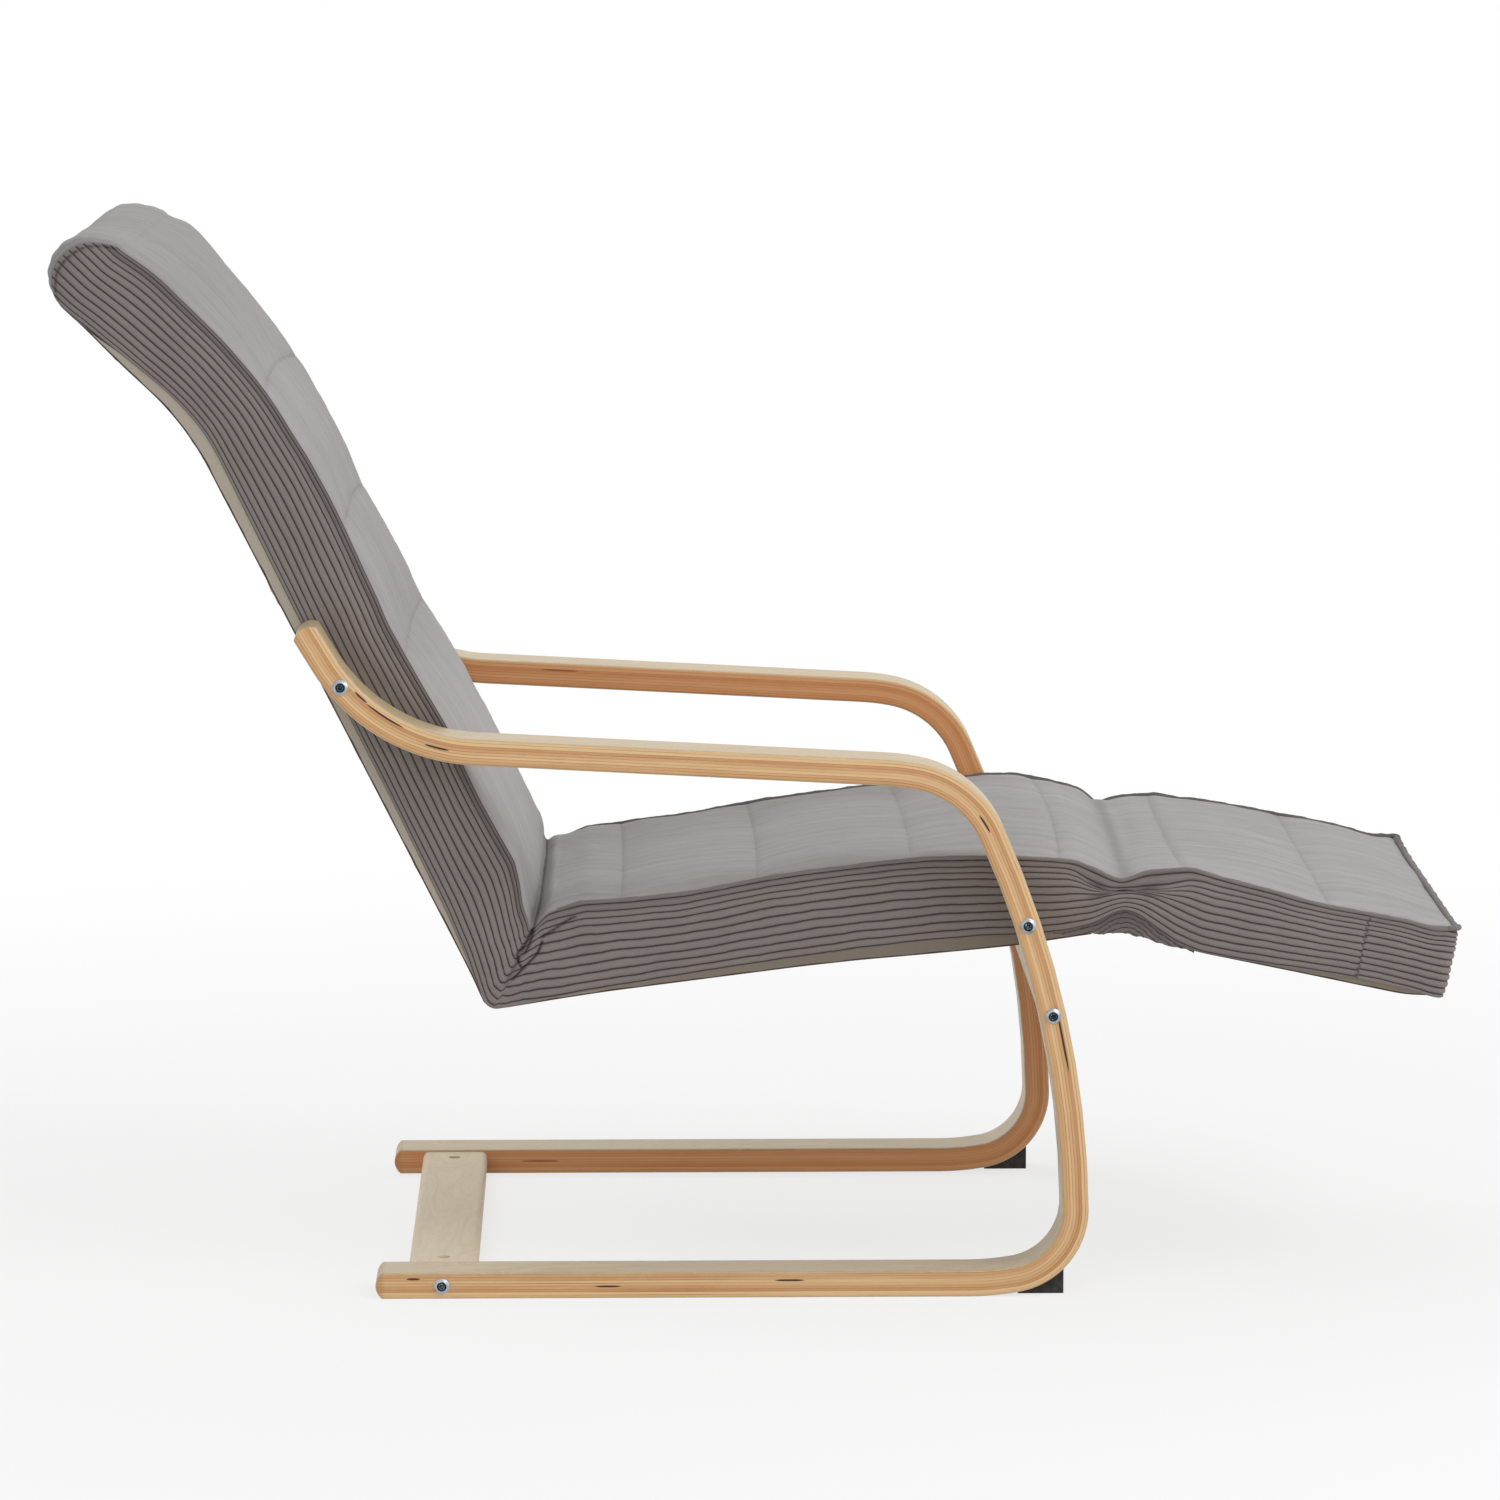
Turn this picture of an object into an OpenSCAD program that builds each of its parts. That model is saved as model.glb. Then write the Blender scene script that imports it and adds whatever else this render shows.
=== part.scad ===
// Relax chair on two bent laminated side frames, with a folding footrest.
// The chair faces -Y and stands on Z = 0. Side views are drawn forward and up.

/* [Side frames] */
// Overall width of the chair
chair_w = 670; // [600:5:760]
// Width of each laminated strip, across the chair
strip_w = 57; // [45:1:70]
// Thickness of each laminated strip
strip_t = 25; // [20:0.5:30]
// Rounding along the edges of the strip
strip_edge_r = 2.5; // [1:0.5:4]
// Rounding of the bulged strip ends, seen from the side
strip_end_r = 16; // [15.5:0.5:20]
// Length of the flat floor rail
floor_run = 559; // [500:1:620]
// Radius of the gentle rise ahead of the floor rail
rise_r = 260; // [200:5:320]
// Turn of the gentle rise, in degrees
rise_turn = 10; // [6:0.5:12]
// Radius of the lower front curve
toe_r = 68; // [55:1:85]
// Turn of the lower front curve, in degrees
toe_turn = 81; // [76:0.5:84]
// Radius of the slightly bowed front leg
leg_r = 910; // [800:5:1100]
// Turn of the front leg, in degrees
leg_turn = 23.4; // [21:0.2:26]
// Radius of the curve from leg to armrest
front_r = 98; // [80:1:120]
// Turn of the curve from leg to armrest, in degrees
front_turn = 54; // [50:0.5:58]
// Radius of the gentle end of that curve
arm_lead_r = 211; // [160:1:260]
// Turn of the gentle end of that curve, in degrees
arm_lead_turn = 8.6; // [6:0.2:11]
// Length of the straight armrest
arm_run = 389; // [350:1:430]
// Radius of the curve behind the armrest
rear_r = 175; // [150:1:210]
// Turn of the curve behind the armrest, in degrees
rear_turn = 55.8; // [48:0.2:60]
// Straight length of the rear tip
tip_run = 33; // [24:1:45]

/* [Boards and feet] */
// Width of the rear base board, front to back
base_board_w = 66; // [50:1:80]
// Thickness of the rear base board
base_board_t = 21; // [16:0.5:22]
// Height of the cross board between the legs, along the leg
leg_board_w = 65; // [50:1:80]
// Thickness of the cross board between the legs
leg_board_t = 18; // [16:0.5:22]
// Rounding of the board edges
board_edge_r = 6; // [3:0.5:7]
// Width of each front foot, across the chair
foot_w = 26; // [18:1:34]
// Height of each front foot at its front face
foot_h = 27; // [18:1:34]

/* [Seat and back frame] */
// Thickness of each inner rail, across the chair
rail_t = 24; // [20:0.5:28]
// Depth of each inner rail, from back face to front face
rail_depth = 38; // [32:1:42]
// Gap between a side frame and an inner rail, where the cover is held
cover_gap = 4; // [3:0.25:6]
// Slope of the seat above level, in degrees
seat_slope = 7.3; // [4:0.1:10]
// Lean of the back from upright, in degrees
back_lean = 26.8; // [24:0.1:30]
// Radius of the corner between seat and back, on the middle of the rail
corner_r = 45; // [38:1:60]
// Distance up the back from the arm bolt to the neck bend
neck_rise = 235; // [200:1:270]
// Radius of the neck bend
neck_r = 300; // [240:5:380]
// Turn of the neck bend, in degrees
neck_turn = 19.5; // [14:0.5:24]
// Length of the rail above the neck bend
head_run = 108; // [90:1:112]
// Distance from the upper leg bolt to the footrest hinge
hinge_reach = 104; // [102:1:120]
// Width of each crossbar, along the rails
bar_w = 60; // [50:1:70]
// Thickness of each crossbar
bar_t = 18; // [15:0.5:22]
// Rounding of the crossbar edges
bar_edge_r = 4; // [2:0.5:6]
// Width of each webbing strap
strap_w = 50; // [40:1:60]
// Thickness of each webbing strap
strap_t = 2; // [1.5:0.1:3]
// Straps across the back
back_straps = 5; // [4:1:6]
// Straps across the seat
seat_straps = 5; // [4:1:6]

/* [Cushions] */
// Height of the back cushion's face above the middle of the rail
back_rise = 62; // [54:1:72]
// Height of the seat cushion's face above the middle of the rail
seat_rise = 62; // [54:1:72]
// Radius of the rounded front end of the seat cushion
seat_front_r = 82; // [78:1:84]
// Gap between the front of the seat cushion and the hinge line
seat_front_gap = 6; // [4:1:10]
// Radius of the lower rear corner of the cover
cover_corner_r = 26; // [20:1:36]
// Run of the head cushion above the neck bend, to the middle of its round end
head_pad_run = 108; // [100:1:114]
// Thickness of the lining behind the back and under the seat
lining_t = 2; // [1.5:0.1:3]

/* [Footrest] */
// Slope of the raised footrest below level, in degrees
rest_drop = 12; // [8:0.5:16]
// Length of the footrest cushion from the hinge line
rest_len = 310; // [270:1:340]
// Gap between the footrest rail's end and the end of the cushion
rest_end_gap = 12; // [8:1:16]
// Start of the footrest rail ahead of the hinge line
rest_rail_start = 33; // [32:0.5:36]
// Drop of the middle of the footrest rail below the hinge line
rest_rail_drop = 8; // [6:0.5:9]
// Height of the footrest cushion's face above the hinge line
rest_rise = 38; // [34:1:46]
// Rounding of the footrest cushion beside the crease
rest_crease_r = 18; // [12:1:20]
// Rounding of the footrest cushion's far edges
rest_end_r = 5; // [3:0.5:8]
// Straps across the footrest
rest_straps = 2; // [1:1:2]

/* [Hinges] */
// Thickness of the hinge plates
plate_t = 3; // [2:0.1:3.5]
// Radius of the seat plate around the pivot
plate_r = 17; // [15:0.5:18]
// Width of the straight part of the seat plate
plate_w = 30; // [28:1:34]
// Length of the seat plate behind the pivot
plate_len = 82; // [80:1:88]
// Radius of the notched disc
disc_r = 14; // [13:0.2:14.4]
// Width of the footrest arm
arm_w = 22; // [18:1:22]
// Length of the footrest arm ahead of the pivot
arm_len = 86; // [82:1:96]
// Radius of the pivot
pivot_r = 4; // [3:0.1:5]
// Radius of the pivot's heads
pivot_head_r = 8; // [6.5:0.1:9]
// Thickness of the pivot's heads
pivot_head_t = 2; // [1.5:0.1:2.5]
// Stops of the footrest
stops = 5; // [4:1:5]
// Angle between two stops, in degrees
stop_turn = 16.5; // [14:0.5:16.5]
// Radius of each notch in the disc
notch_r = 2.2; // [1.8:0.1:2.4]
// Thickness of the detent spring's leaf
leaf_t = 1; // [0.8:0.1:1.2]
// Length of the detent spring's leaf behind the pivot
leaf_len = 52; // [48:1:56]

/* [Bolts and screws] */
// Radius of the bolt shank
bolt_r = 4; // [3:0.1:5]
// Radius of the bolt head
bolt_head_r = 7.5; // [7:0.1:9]
// Height of the domed bolt head
bolt_head_h = 4; // [3:0.1:5]
// Size of the hexagon socket, across its corners
socket_w = 5.8; // [5:0.1:6.4]
// Depth of the hexagon socket
socket_depth = 2.5; // [2:0.1:2.8]
// Distance of the base bolt from the rear end of the floor rail
base_bolt_in = 57; // [50:1:64]
// Distance of the lower leg bolt along the leg
leg_bolt_run = 188; // [176:1:200]
// Distance between the two leg bolts
leg_bolt_pitch = 90; // [84:1:96]
// Distance of the arm bolt before the end of the rear curve
arm_bolt_back = 27; // [20:1:34]
// Reach of the board bolts into the boards
board_bolt_in = 38; // [36:1:44]
// Distance of the barrel nuts from the board ends
nut_in = 29; // [26:1:29]
// Radius of the barrel nuts
nut_r = 6; // [5.5:0.1:6.5]
// Length of the barrel nuts
nut_len = 15; // [12:1:15]
// Radius of the tee nut's flange
tee_r = 10; // [9:0.5:11]
// Thickness of the tee nut's flange
tee_t = 2; // [1.5:0.1:2.5]
// Radius of the tee nut's barrel
tee_barrel_r = 5.5; // [5.2:0.1:6]
// Length of the tee nut's barrel
tee_barrel_len = 12; // [9:1:15]
// Radius of the screw shank
screw_r = 2.5; // [2:0.1:3]
// Radius of the screw head
screw_head_r = 4.5; // [4:0.1:5]
// Height of the screw head
screw_head_h = 2; // [1.5:0.1:2.5]
// Length of the crossbar screws
bar_screw_len = 55; // [45:1:65]
// Distance between the two screws at a crossbar end
bar_screw_pitch = 32; // [26:1:36]
// Length of the hinge screws
plate_screw_len = 20; // [16:1:22]
// Distance between the hinge screws
plate_screw_pitch = 22; // [18:1:22]
// Distance from the plate's end to its last screw
plate_screw_edge = 10; // [8:1:12]

/* [Hidden] */

// Facets of round parts and of long curves
$fn = 64;
curve_fn = 360;
// Turn of each step of a bend, at most
step_turn = 3;
// Steps around each rounded edge and each bulged end of the strip
edge_steps = 3;
end_steps = 5;
// Half turn of the flat left at the tip of each bulged end
tip_turn = 6;
// Largest rounding of a thin ring, as a share of half its thickness
edge_share = 0.8;

// Running gap between parts that move or are soft
fit_gap = 0.3;
// Gap around a shank in its hole
hole_gap = 0.15;
// Gap of the cover to the frame beside it
side_clear = 0.5;
// Overrun of every cut
over = 1;
// Angle below the hinge that each cushion leaves free, measured from its own line
fold_cut = 45;
// Gap of each cushion to the hinge line, and between back and seat cushion
crease_gap = 1;
// Turn past the corner's middle line that both cushions are drawn to before the cut
corner_past = 6;
// Free space around the plates of a hinge
pocket_gap = 3;
// Places of the crossbars: from the rail's end, below the arm bolt, after the corner
head_bar_in = 40;
lumbar_bar_drop = 110;
seat_rear_bar_in = 70;
// Place of the front crossbar behind the upper leg bolt
seat_front_bar_back = 58;
// Places of the footrest's crossbars: from the rail's start, and from the cushion's end
rest_rear_bar_in = 88;
rest_end_bar_in = 42;
// Distance of the straps' ends from the outer faces of the rails
strap_side_in = 3;
// Folded tab that carries the detent spring, above the notched disc
tab_len = 14;
tab_low = 1;
tab_high = 1.3;
// Rounded tip of the detent spring, and its lift above the disc's rim
leaf_tip_r = 1.9;
leaf_tip_lift = 0.25;
// Rim of the domed bolt head
bolt_rim_h = 0.8;

// Places across the chair
frame_in = chair_w/2 - strip_w;
rail_out = frame_in - cover_gap;
rail_in = rail_out - rail_t;
pad_half = frame_in - side_clear;
skirt_in = rail_out + side_clear;
plate_in = rail_in - plate_t;
arm_out = plate_in - fit_gap;
arm_in = arm_out - plate_t;
rest_out = arm_out + rail_t;
pivot_in = arm_in - fit_gap - pivot_head_t;
pivot_out = rail_in + pivot_head_t;

// Heights above the middle of the inner rail
lining_top = -rail_depth/2 - fit_gap;
cover_low = lining_top - lining_t;
pad_low = rail_depth/2 + strap_t + fit_gap;

// Heights above the hinge line of the footrest
rest_rail_low = -rest_rail_drop - rail_depth/2;
rest_rail_top = rail_depth/2 - rest_rail_drop;
rest_lining_top = rest_rail_low - fit_gap;
rest_cover_low = rest_lining_top - lining_t;
rest_pad_low = rest_rail_top + strap_t + fit_gap;

// A path is a list of [length, 0] for a straight and [radius, turn] for a bend.
// A pose is [forward, up, heading], and a turn to the left is positive.
function bend_turn(r, run) = run/r*180/PI;
function after(p, seg) =
  seg[1] == 0
    ? shift(p, seg[0])
    : let (r = sign(seg[1])*seg[0], h = p[2] + seg[1])
      [p[0] - r*sin(p[2]) + r*sin(h), p[1] + r*cos(p[2]) - r*cos(h), h];
function pose(path, n, start) = n == 0 ? start : after(pose(path, n - 1, start), path[n - 1]);
function shift(p, along, up = 0) =
  [p[0] + along*cos(p[2]) - up*sin(p[2]), p[1] + along*sin(p[2]) + up*cos(p[2]), p[2]];
function turned(p, heading) = [p[0], p[1], heading];
function spot(p, up) = [p[0] - up*sin(p[2]), p[1] + up*cos(p[2])];
function steps_of(seg) = seg[1] == 0 ? 1 : ceil(abs(seg[1])/step_turn);
function part_of(seg, share) = seg[1] == 0 ? [seg[0]*share, 0] : [seg[0], seg[1]*share];
function stations_of(path, start) = concat(
  [start],
  [for (i = [0:len(path) - 1])
    let (p = pose(path, i, start), n = steps_of(path[i]))
    for (k = [1:n])
      after(p, part_of(path[i], k/n))]
);
function cross_of(a, b) = a[0]*b[1] - a[1]*b[0];
function unit(angle) = [cos(angle), sin(angle)];

// Side frame, from the rear end of the floor rail to the rear tip of the armrest
side_path = [
  [floor_run, 0], [rise_r, rise_turn], [toe_r, toe_turn], [leg_r, leg_turn],
  [front_r, front_turn], [arm_lead_r, arm_lead_turn], [arm_run, 0],
  [rear_r, -rear_turn], [tip_run, 0]
];
side_start = [0, strip_t/2, 0];
toe_centre = shift(pose(side_path, 2, side_start), 0, toe_r);
leg_pose = pose(side_path, 3, side_start);
base_bolt = shift(side_start, base_bolt_in);
leg_bolt = after(leg_pose, [leg_r, bend_turn(leg_r, leg_bolt_run)]);
seat_bolt = after(leg_pose, [leg_r, bend_turn(leg_r, leg_bolt_run + leg_bolt_pitch)]);
arm_bolt = after(pose(side_path, 7, side_start), [rear_r, bend_turn(rear_r, arm_bolt_back) - rear_turn]);

// Inner frame, from the head down the back and forward along the seat.
// Its back runs through the arm bolt and its seat through the upper leg bolt.
back_dir = back_lean - 90;
head_dir = back_dir + neck_turn;
seat_dir = seat_slope;
corner_turn = seat_dir - back_dir;
corner_cut = corner_r*tan(corner_turn/2);
bolt_span = [seat_bolt[0] - arm_bolt[0], seat_bolt[1] - arm_bolt[1]];
back_drop = cross_of(bolt_span, unit(seat_dir))/cross_of(unit(back_dir), unit(seat_dir));
corner = shift(turned(arm_bolt, back_dir), back_drop);
seat_span = norm([seat_bolt[0] - corner[0], seat_bolt[1] - corner[1]]);
rail_end_gap = rail_depth/2 + pocket_gap;
back_run = neck_rise + back_drop - corner_cut;
seat_run = seat_span + hinge_reach - rail_end_gap - corner_cut;
neck_low = shift(turned(arm_bolt, back_dir), -neck_rise);
neck_rel = pose([[head_run, 0], [neck_r, -neck_turn]], 2, [0, 0, head_dir]);
head_start = [neck_low[0] - neck_rel[0], neck_low[1] - neck_rel[1], head_dir];
frame_path = [
  [head_run, 0], [neck_r, -neck_turn], [back_run, 0], [corner_r, corner_turn], [seat_run, 0]
];
back_start = pose(frame_path, 2, head_start);
seat_start = pose(frame_path, 4, head_start);
hinge = shift(turned(seat_bolt, seat_dir), hinge_reach);
rest_start = turned(hinge, -rest_drop);
rest_rail_end = rest_len - rest_end_gap;

// Crossbars and screws, each at its own pose
frame_bars = [
  shift(head_start, head_bar_in),
  shift(turned(arm_bolt, back_dir), lumbar_bar_drop),
  shift(seat_start, seat_rear_bar_in),
  shift(turned(seat_bolt, seat_dir), -seat_front_bar_back)
];
rest_bars = [
  shift(rest_start, rest_rail_start + rest_rear_bar_in, -rest_rail_drop),
  shift(rest_start, rest_len - rest_end_bar_in, -rest_rail_drop)
];
plate_screws = [for (k = [0, 1]) shift(hinge, plate_screw_edge + k*plate_screw_pitch - plate_len)];
arm_screws = [for (k = [0, 1]) shift(rest_start, arm_len - plate_screw_edge - k*plate_screw_pitch)];
function bar_screws(bars) = [for (p = bars, k = [-1, 1]) shift(p, k*bar_screw_pitch/2)];

// Corner between the back and the seat, seen along the line that halves it
corner_half = 90 - corner_turn/2;
corner_line = turned(corner, seat_dir + corner_half);
corner_over = over - cover_low/tan(corner_half);
corner_round_at = (cover_low + cover_corner_r)/sin(corner_half);
hollow_low = min(cover_low, corner_r - corner_r/sin(corner_half) + corner_round_at - cover_corner_r) - over;

// Round end of the head cushion, and the chair's middle from front to back
head_round_r = (back_rise - cover_low)/2;
head_round_up = (back_rise + cover_low)/2;
head_pad_start = shift(head_start, head_run - head_pad_run);
head_round = shift(head_pad_start, 0, head_round_up);
front_round = shift(rest_start, rest_len - rest_end_r, rest_rise - rest_end_r);
middle = (head_round[0] - head_round_r + front_round[0] + rest_end_r)/2;
reach = floor_run + leg_r;

// Lays a side view upright, with its third axis pointing to the right of the chair
module side_view(x = 0)
  translate([x, middle, 0])
    rotate([90, 0, -90])
      children();

// Turns a flat side view into a solid from x = low to x = high
module across(low, high)
  side_view(high)
    linear_extrude(high - low)
      children();

module both_sides() {
  children();
  mirror([1, 0, 0])
    children();
}

module at(p)
  translate([p[0], p[1], 0])
    rotate(p[2])
      children();

// Round bar or hole whose axis lies across the chair
module axle(p, low, high, r)
  across(low, high)
    at(p)
      circle(r);

// Side view of a bar along a whole path, between two heights beside the path
module band(path, start, low, high) {
  stations = stations_of(path, start);
  last = len(stations) - 1;
  polygon(concat(
    [for (p = stations) spot(p, low)],
    [for (i = [last:-1:0]) spot(stations[i], high)]
  ));
}

// Rectangle with rounded corners, centred
module soft_rect(w, h, r) {
  square([w - 2*r, h], center = true);
  square([w, h - 2*r], center = true);
  for (x = [-1, 1], y = [-1, 1])
    translate([x*(w/2 - r), y*(h/2 - r)])
      circle(r);
}

// Trims the corner of a flat shape at its upper right, or as turned
module round_off(x, y, heading, r)
  translate([x, y])
    rotate(heading)
      translate([-r, -r])
        difference() {
          square(r + over);
          circle(r);
        }

// Ring of points around the strip: a pose and half of the thickness there
function ring(p, half) =
  let (e = min(strip_edge_r, edge_share*half))
  [for (c = [0:3], k = [0:edge_steps])
    let (
      a = 90*(c + k/edge_steps),
      up = (c == 0 || c == 3 ? half - e : e - half) + e*cos(a),
      side = (c < 2 ? strip_w/2 - e : e - strip_w/2) + e*sin(a),
      q = spot(p, up)
    )
    [q[0], q[1], side]];

// Rings of the bulged end of the strip, from the tip inward
function end_rings(p) =
  let (wide = asin(strip_t/2/strip_end_r))
  [for (k = [0:end_steps - 1])
    let (a = tip_turn + (wide - tip_turn)*k/end_steps)
    ring(shift(p, strip_end_r*(cos(a) - cos(wide))), strip_end_r*sin(a))];

function reversed(list) = [for (i = [len(list) - 1:-1:0]) list[i]];
function flipped(p) = [p[0], p[1], p[2] + 180];
// Mirrors each ring in place, so that rings of both directions join up
function turned_over(rings) =
  [for (r = rings) let (n = len(r)/2) [for (j = [0:2*n - 1]) r[(3*n - 1 - j)%(2*n)]]];

// Laminated strip, bent along the side view's path
module strip() {
  stations = stations_of(side_path, side_start);
  tip = stations[len(stations) - 1];
  rings = concat(
    turned_over(end_rings(flipped(side_start))),
    [for (p = stations) ring(p, strip_t/2)],
    reversed(end_rings(tip))
  );
  n = len(rings[0]);
  last = len(rings) - 1;
  polyhedron(
    points = [for (r = rings) for (q = r) q],
    faces = concat(
      [[for (j = [0:n - 1]) n - 1 - j]],
      [for (i = [0:last - 1], j = [0:n - 1])
        [i*n + j, i*n + (j + 1)%n, (i + 1)*n + (j + 1)%n, (i + 1)*n + j]],
      [[for (j = [0:n - 1]) last*n + j]]
    )
  );
}

module side_frame()
  color("burlywood")
    difference() {
      side_view(chair_w/2 - strip_w/2)
        strip();
      for (p = [base_bolt, leg_bolt, seat_bolt, arm_bolt])
        axle(p, frame_in - over, chair_w/2 + over, bolt_r + hole_gap);
    }

module left_side_frame() side_frame();
module right_side_frame() mirror([1, 0, 0]) side_frame();

// Lays a barrel nut's axis through the thickness of its board
module nut_place(p)
  side_view(frame_in - nut_in)
    at(p)
      rotate([90, 0, 0])
        children();

// Board between the side frames, with a bolt and a barrel nut at each end
module frame_board(p, w, t)
  color("wheat")
    difference() {
      across(-frame_in, frame_in)
        at(p)
          soft_rect(w, t, board_edge_r);
      both_sides() {
        axle(p, frame_in - board_bolt_in - fit_gap, frame_in + over, bolt_r + hole_gap);
        nut_place(p)
          cylinder(r = nut_r + hole_gap, h = t + 2*over, center = true);
      }
    }

module rear_base_board() frame_board(base_bolt, base_board_w, base_board_t);
module leg_cross_board() frame_board(leg_bolt, leg_board_w, leg_board_t);

// Wedge that fills the gap below the lower front curve
module front_foot() {
  curve = toe_r + strip_t/2 + hole_gap;
  tail = curve*sin(rise_turn);
  nose = sqrt(curve*curve - (toe_centre[1] - foot_h)*(toe_centre[1] - foot_h));
  color("black")
    across(frame_in + strip_w/2 - foot_w/2, frame_in + strip_w/2 + foot_w/2)
      difference() {
        translate([toe_centre[0] + tail, 0])
          square([nose - tail, toe_centre[1]]);
        at(toe_centre)
          circle(curve, $fn = curve_fn);
      }
}

module left_front_foot() front_foot();
module right_front_foot() mirror([1, 0, 0]) front_foot();

// Crossbar screw with its head let into the outer face of a rail
module bar_screw(p, out, gap = 0) {
  axle(p, out - screw_head_h, out + gap, screw_head_r + gap);
  axle(p, out - bar_screw_len - gap, out, screw_r + gap);
}

module frame_rail()
  color("tan")
    difference() {
      across(rail_in, rail_out)
        band(frame_path, head_start, -rail_depth/2, rail_depth/2);
      for (p = [arm_bolt, seat_bolt]) {
        axle(p, rail_in - over, rail_out + over, bolt_r + hole_gap);
        axle(p, rail_in - over, rail_in + tee_barrel_len + hole_gap, tee_barrel_r + hole_gap);
      }
      for (p = bar_screws(frame_bars))
        bar_screw(p, rail_out, hole_gap);
      for (p = plate_screws)
        axle(p, rail_in - over, plate_in + plate_screw_len + hole_gap, screw_r + hole_gap);
    }

module left_frame_rail() frame_rail();
module right_frame_rail() mirror([1, 0, 0]) frame_rail();

module crossbar(p, half, out)
  color("tan")
    difference() {
      across(-half, half)
        at(p)
          soft_rect(bar_w, bar_t, bar_edge_r);
      both_sides()
        for (q = bar_screws([p]))
          bar_screw(q, out, hole_gap);
    }

module head_crossbar() crossbar(frame_bars[0], rail_in, rail_out);
module lumbar_crossbar() crossbar(frame_bars[1], rail_in, rail_out);
module seat_rear_crossbar() crossbar(frame_bars[2], rail_in, rail_out);
module seat_front_crossbar() crossbar(frame_bars[3], rail_in, rail_out);

// Straps at even steps along a straight run, resting on the rails
module straps(p, run, count, low, half)
  color("dimgray")
    for (i = [0:count - 1])
      across(-half, half)
        at(shift(p, run*(i + 0.5)/count))
          translate([-strap_w/2, low])
            square([strap_w, strap_t]);

module back_webbing() {
  straps(back_start, back_run, back_straps, rail_depth/2, rail_out - strap_side_in);
  straps(head_start, head_run, 1, rail_depth/2, rail_out - strap_side_in);
}

module seat_webbing() straps(seat_start, seat_run, seat_straps, rail_depth/2, rail_out - strap_side_in);

// Everything on one side of the line that halves the corner
module beyond_corner(side)
  at(corner_line)
    translate([-reach, side > 0 ? -crease_gap/2 : crease_gap/2 - reach])
      square([2*reach, reach]);

// Points around the rounded outer corner of the cover, between two angles
function corner_arc(from, to) =
  let (n = ceil(abs(to - from)/step_turn))
  [for (k = [0:n])
    let (a = from + (to - from)*k/n)
    spot(shift(corner_line, corner_round_at + cover_corner_r*cos(a)), cover_corner_r*sin(a))];

// Points around a round end, about a centre at a height above a pose
function end_arc(p, r, up, from, to) =
  let (n = ceil(abs(to - from)/step_turn))
  [for (k = [0:n])
    let (a = from + (to - from)*k/n)
    spot(shift(p, r*cos(a)), up + r*sin(a))];

// Space inside the cover that the inner frame takes
module frame_hollow()
  band(
    [[head_run + side_clear, 0], [neck_r, -neck_turn], [back_run, 0],
     [corner_r, corner_turn], [seat_run + rail_end_gap + over, 0]],
    shift(head_start, -side_clear), hollow_low, pad_low
  );

// Space below the hinge line that stays free for folding, on the seat's side
module fold_space()
  polygon([
    [-crease_gap, 0],
    [-crease_gap - reach*cos(fold_cut), -reach*sin(fold_cut)],
    [reach, -reach],
    [reach, 0]
  ]);

module back_outline() {
  stations = stations_of(
    [[head_pad_run, 0], [neck_r, -neck_turn], [neck_rise + back_drop + corner_over, 0]],
    head_pad_start
  );
  last = len(stations) - 1;
  difference() {
    polygon(concat(
      end_arc(head_pad_start, head_round_r, head_round_up, -90, -270),
      [for (i = [1:last]) spot(stations[i], back_rise)],
      corner_arc(180 + corner_past, 90 + corner_half),
      [for (i = [last - 1:-1:1]) spot(stations[i], cover_low)]
    ));
    beyond_corner(-1);
  }
}

module seat_outline() {
  nose = shift(hinge, -seat_front_gap - seat_front_r);
  nose_up = seat_rise - seat_front_r;
  difference() {
    polygon(concat(
      corner_arc(180 - corner_past, 270 - corner_half),
      end_arc(nose, seat_front_r, nose_up, asin((cover_low - nose_up)/seat_front_r), 90),
      [spot(shift(turned(corner, seat_dir), -corner_over), seat_rise)]
    ));
    beyond_corner(1);
    at(hinge)
      fold_space();
  }
}

// Cushion with side walls that reach down beside the inner frame
module cushion()
  color("gray")
    difference() {
      across(-pad_half, pad_half)
        children(0);
      across(-skirt_in, skirt_in)
        children(1);
      both_sides()
        for (p = [arm_bolt, seat_bolt])
          axle(p, skirt_in - over, pad_half + over, bolt_r + fit_gap);
    }

module back_cushion()
  cushion() {
    back_outline();
    frame_hollow();
  }

module seat_cushion()
  cushion() {
    seat_outline();
    frame_hollow();
  }

// Lining behind the back and under the seat, up to the fold
module frame_lining()
  color("darkkhaki")
    across(fit_gap - skirt_in, skirt_in - fit_gap)
      band(
        [[head_run, 0], [neck_r, -neck_turn], [back_run, 0], [corner_r, corner_turn],
         [seat_run + rail_end_gap + cover_low/tan(fold_cut) - crease_gap, 0]],
        head_start, cover_low, lining_top
      );

// Domed bolt with a hexagon socket, its head on the outer face of a side frame
module bolt(p, tip) {
  dome_h = bolt_head_h - bolt_rim_h;
  dome_r = (bolt_head_r*bolt_head_r + dome_h*dome_h)/(2*dome_h);
  axle(p, tip, chair_w/2, bolt_r);
  side_view(chair_w/2)
    at(p)
      mirror([0, 0, 1])
        difference() {
          rotate_extrude()
            intersection() {
              square([bolt_head_r, bolt_head_h]);
              translate([0, bolt_head_h - dome_r])
                circle(dome_r, $fn = curve_fn);
            }
          translate([0, 0, bolt_head_h - socket_depth])
            cylinder(d = socket_w, h = socket_depth + over, $fn = 6);
        }
}

module frame_bolts()
  color("silver")
    both_sides()
      for (p = [arm_bolt, seat_bolt])
        bolt(p, rail_in - tee_t);

module board_bolts()
  color("silver")
    both_sides()
      for (p = [base_bolt, leg_bolt])
        bolt(p, frame_in - board_bolt_in);

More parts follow.
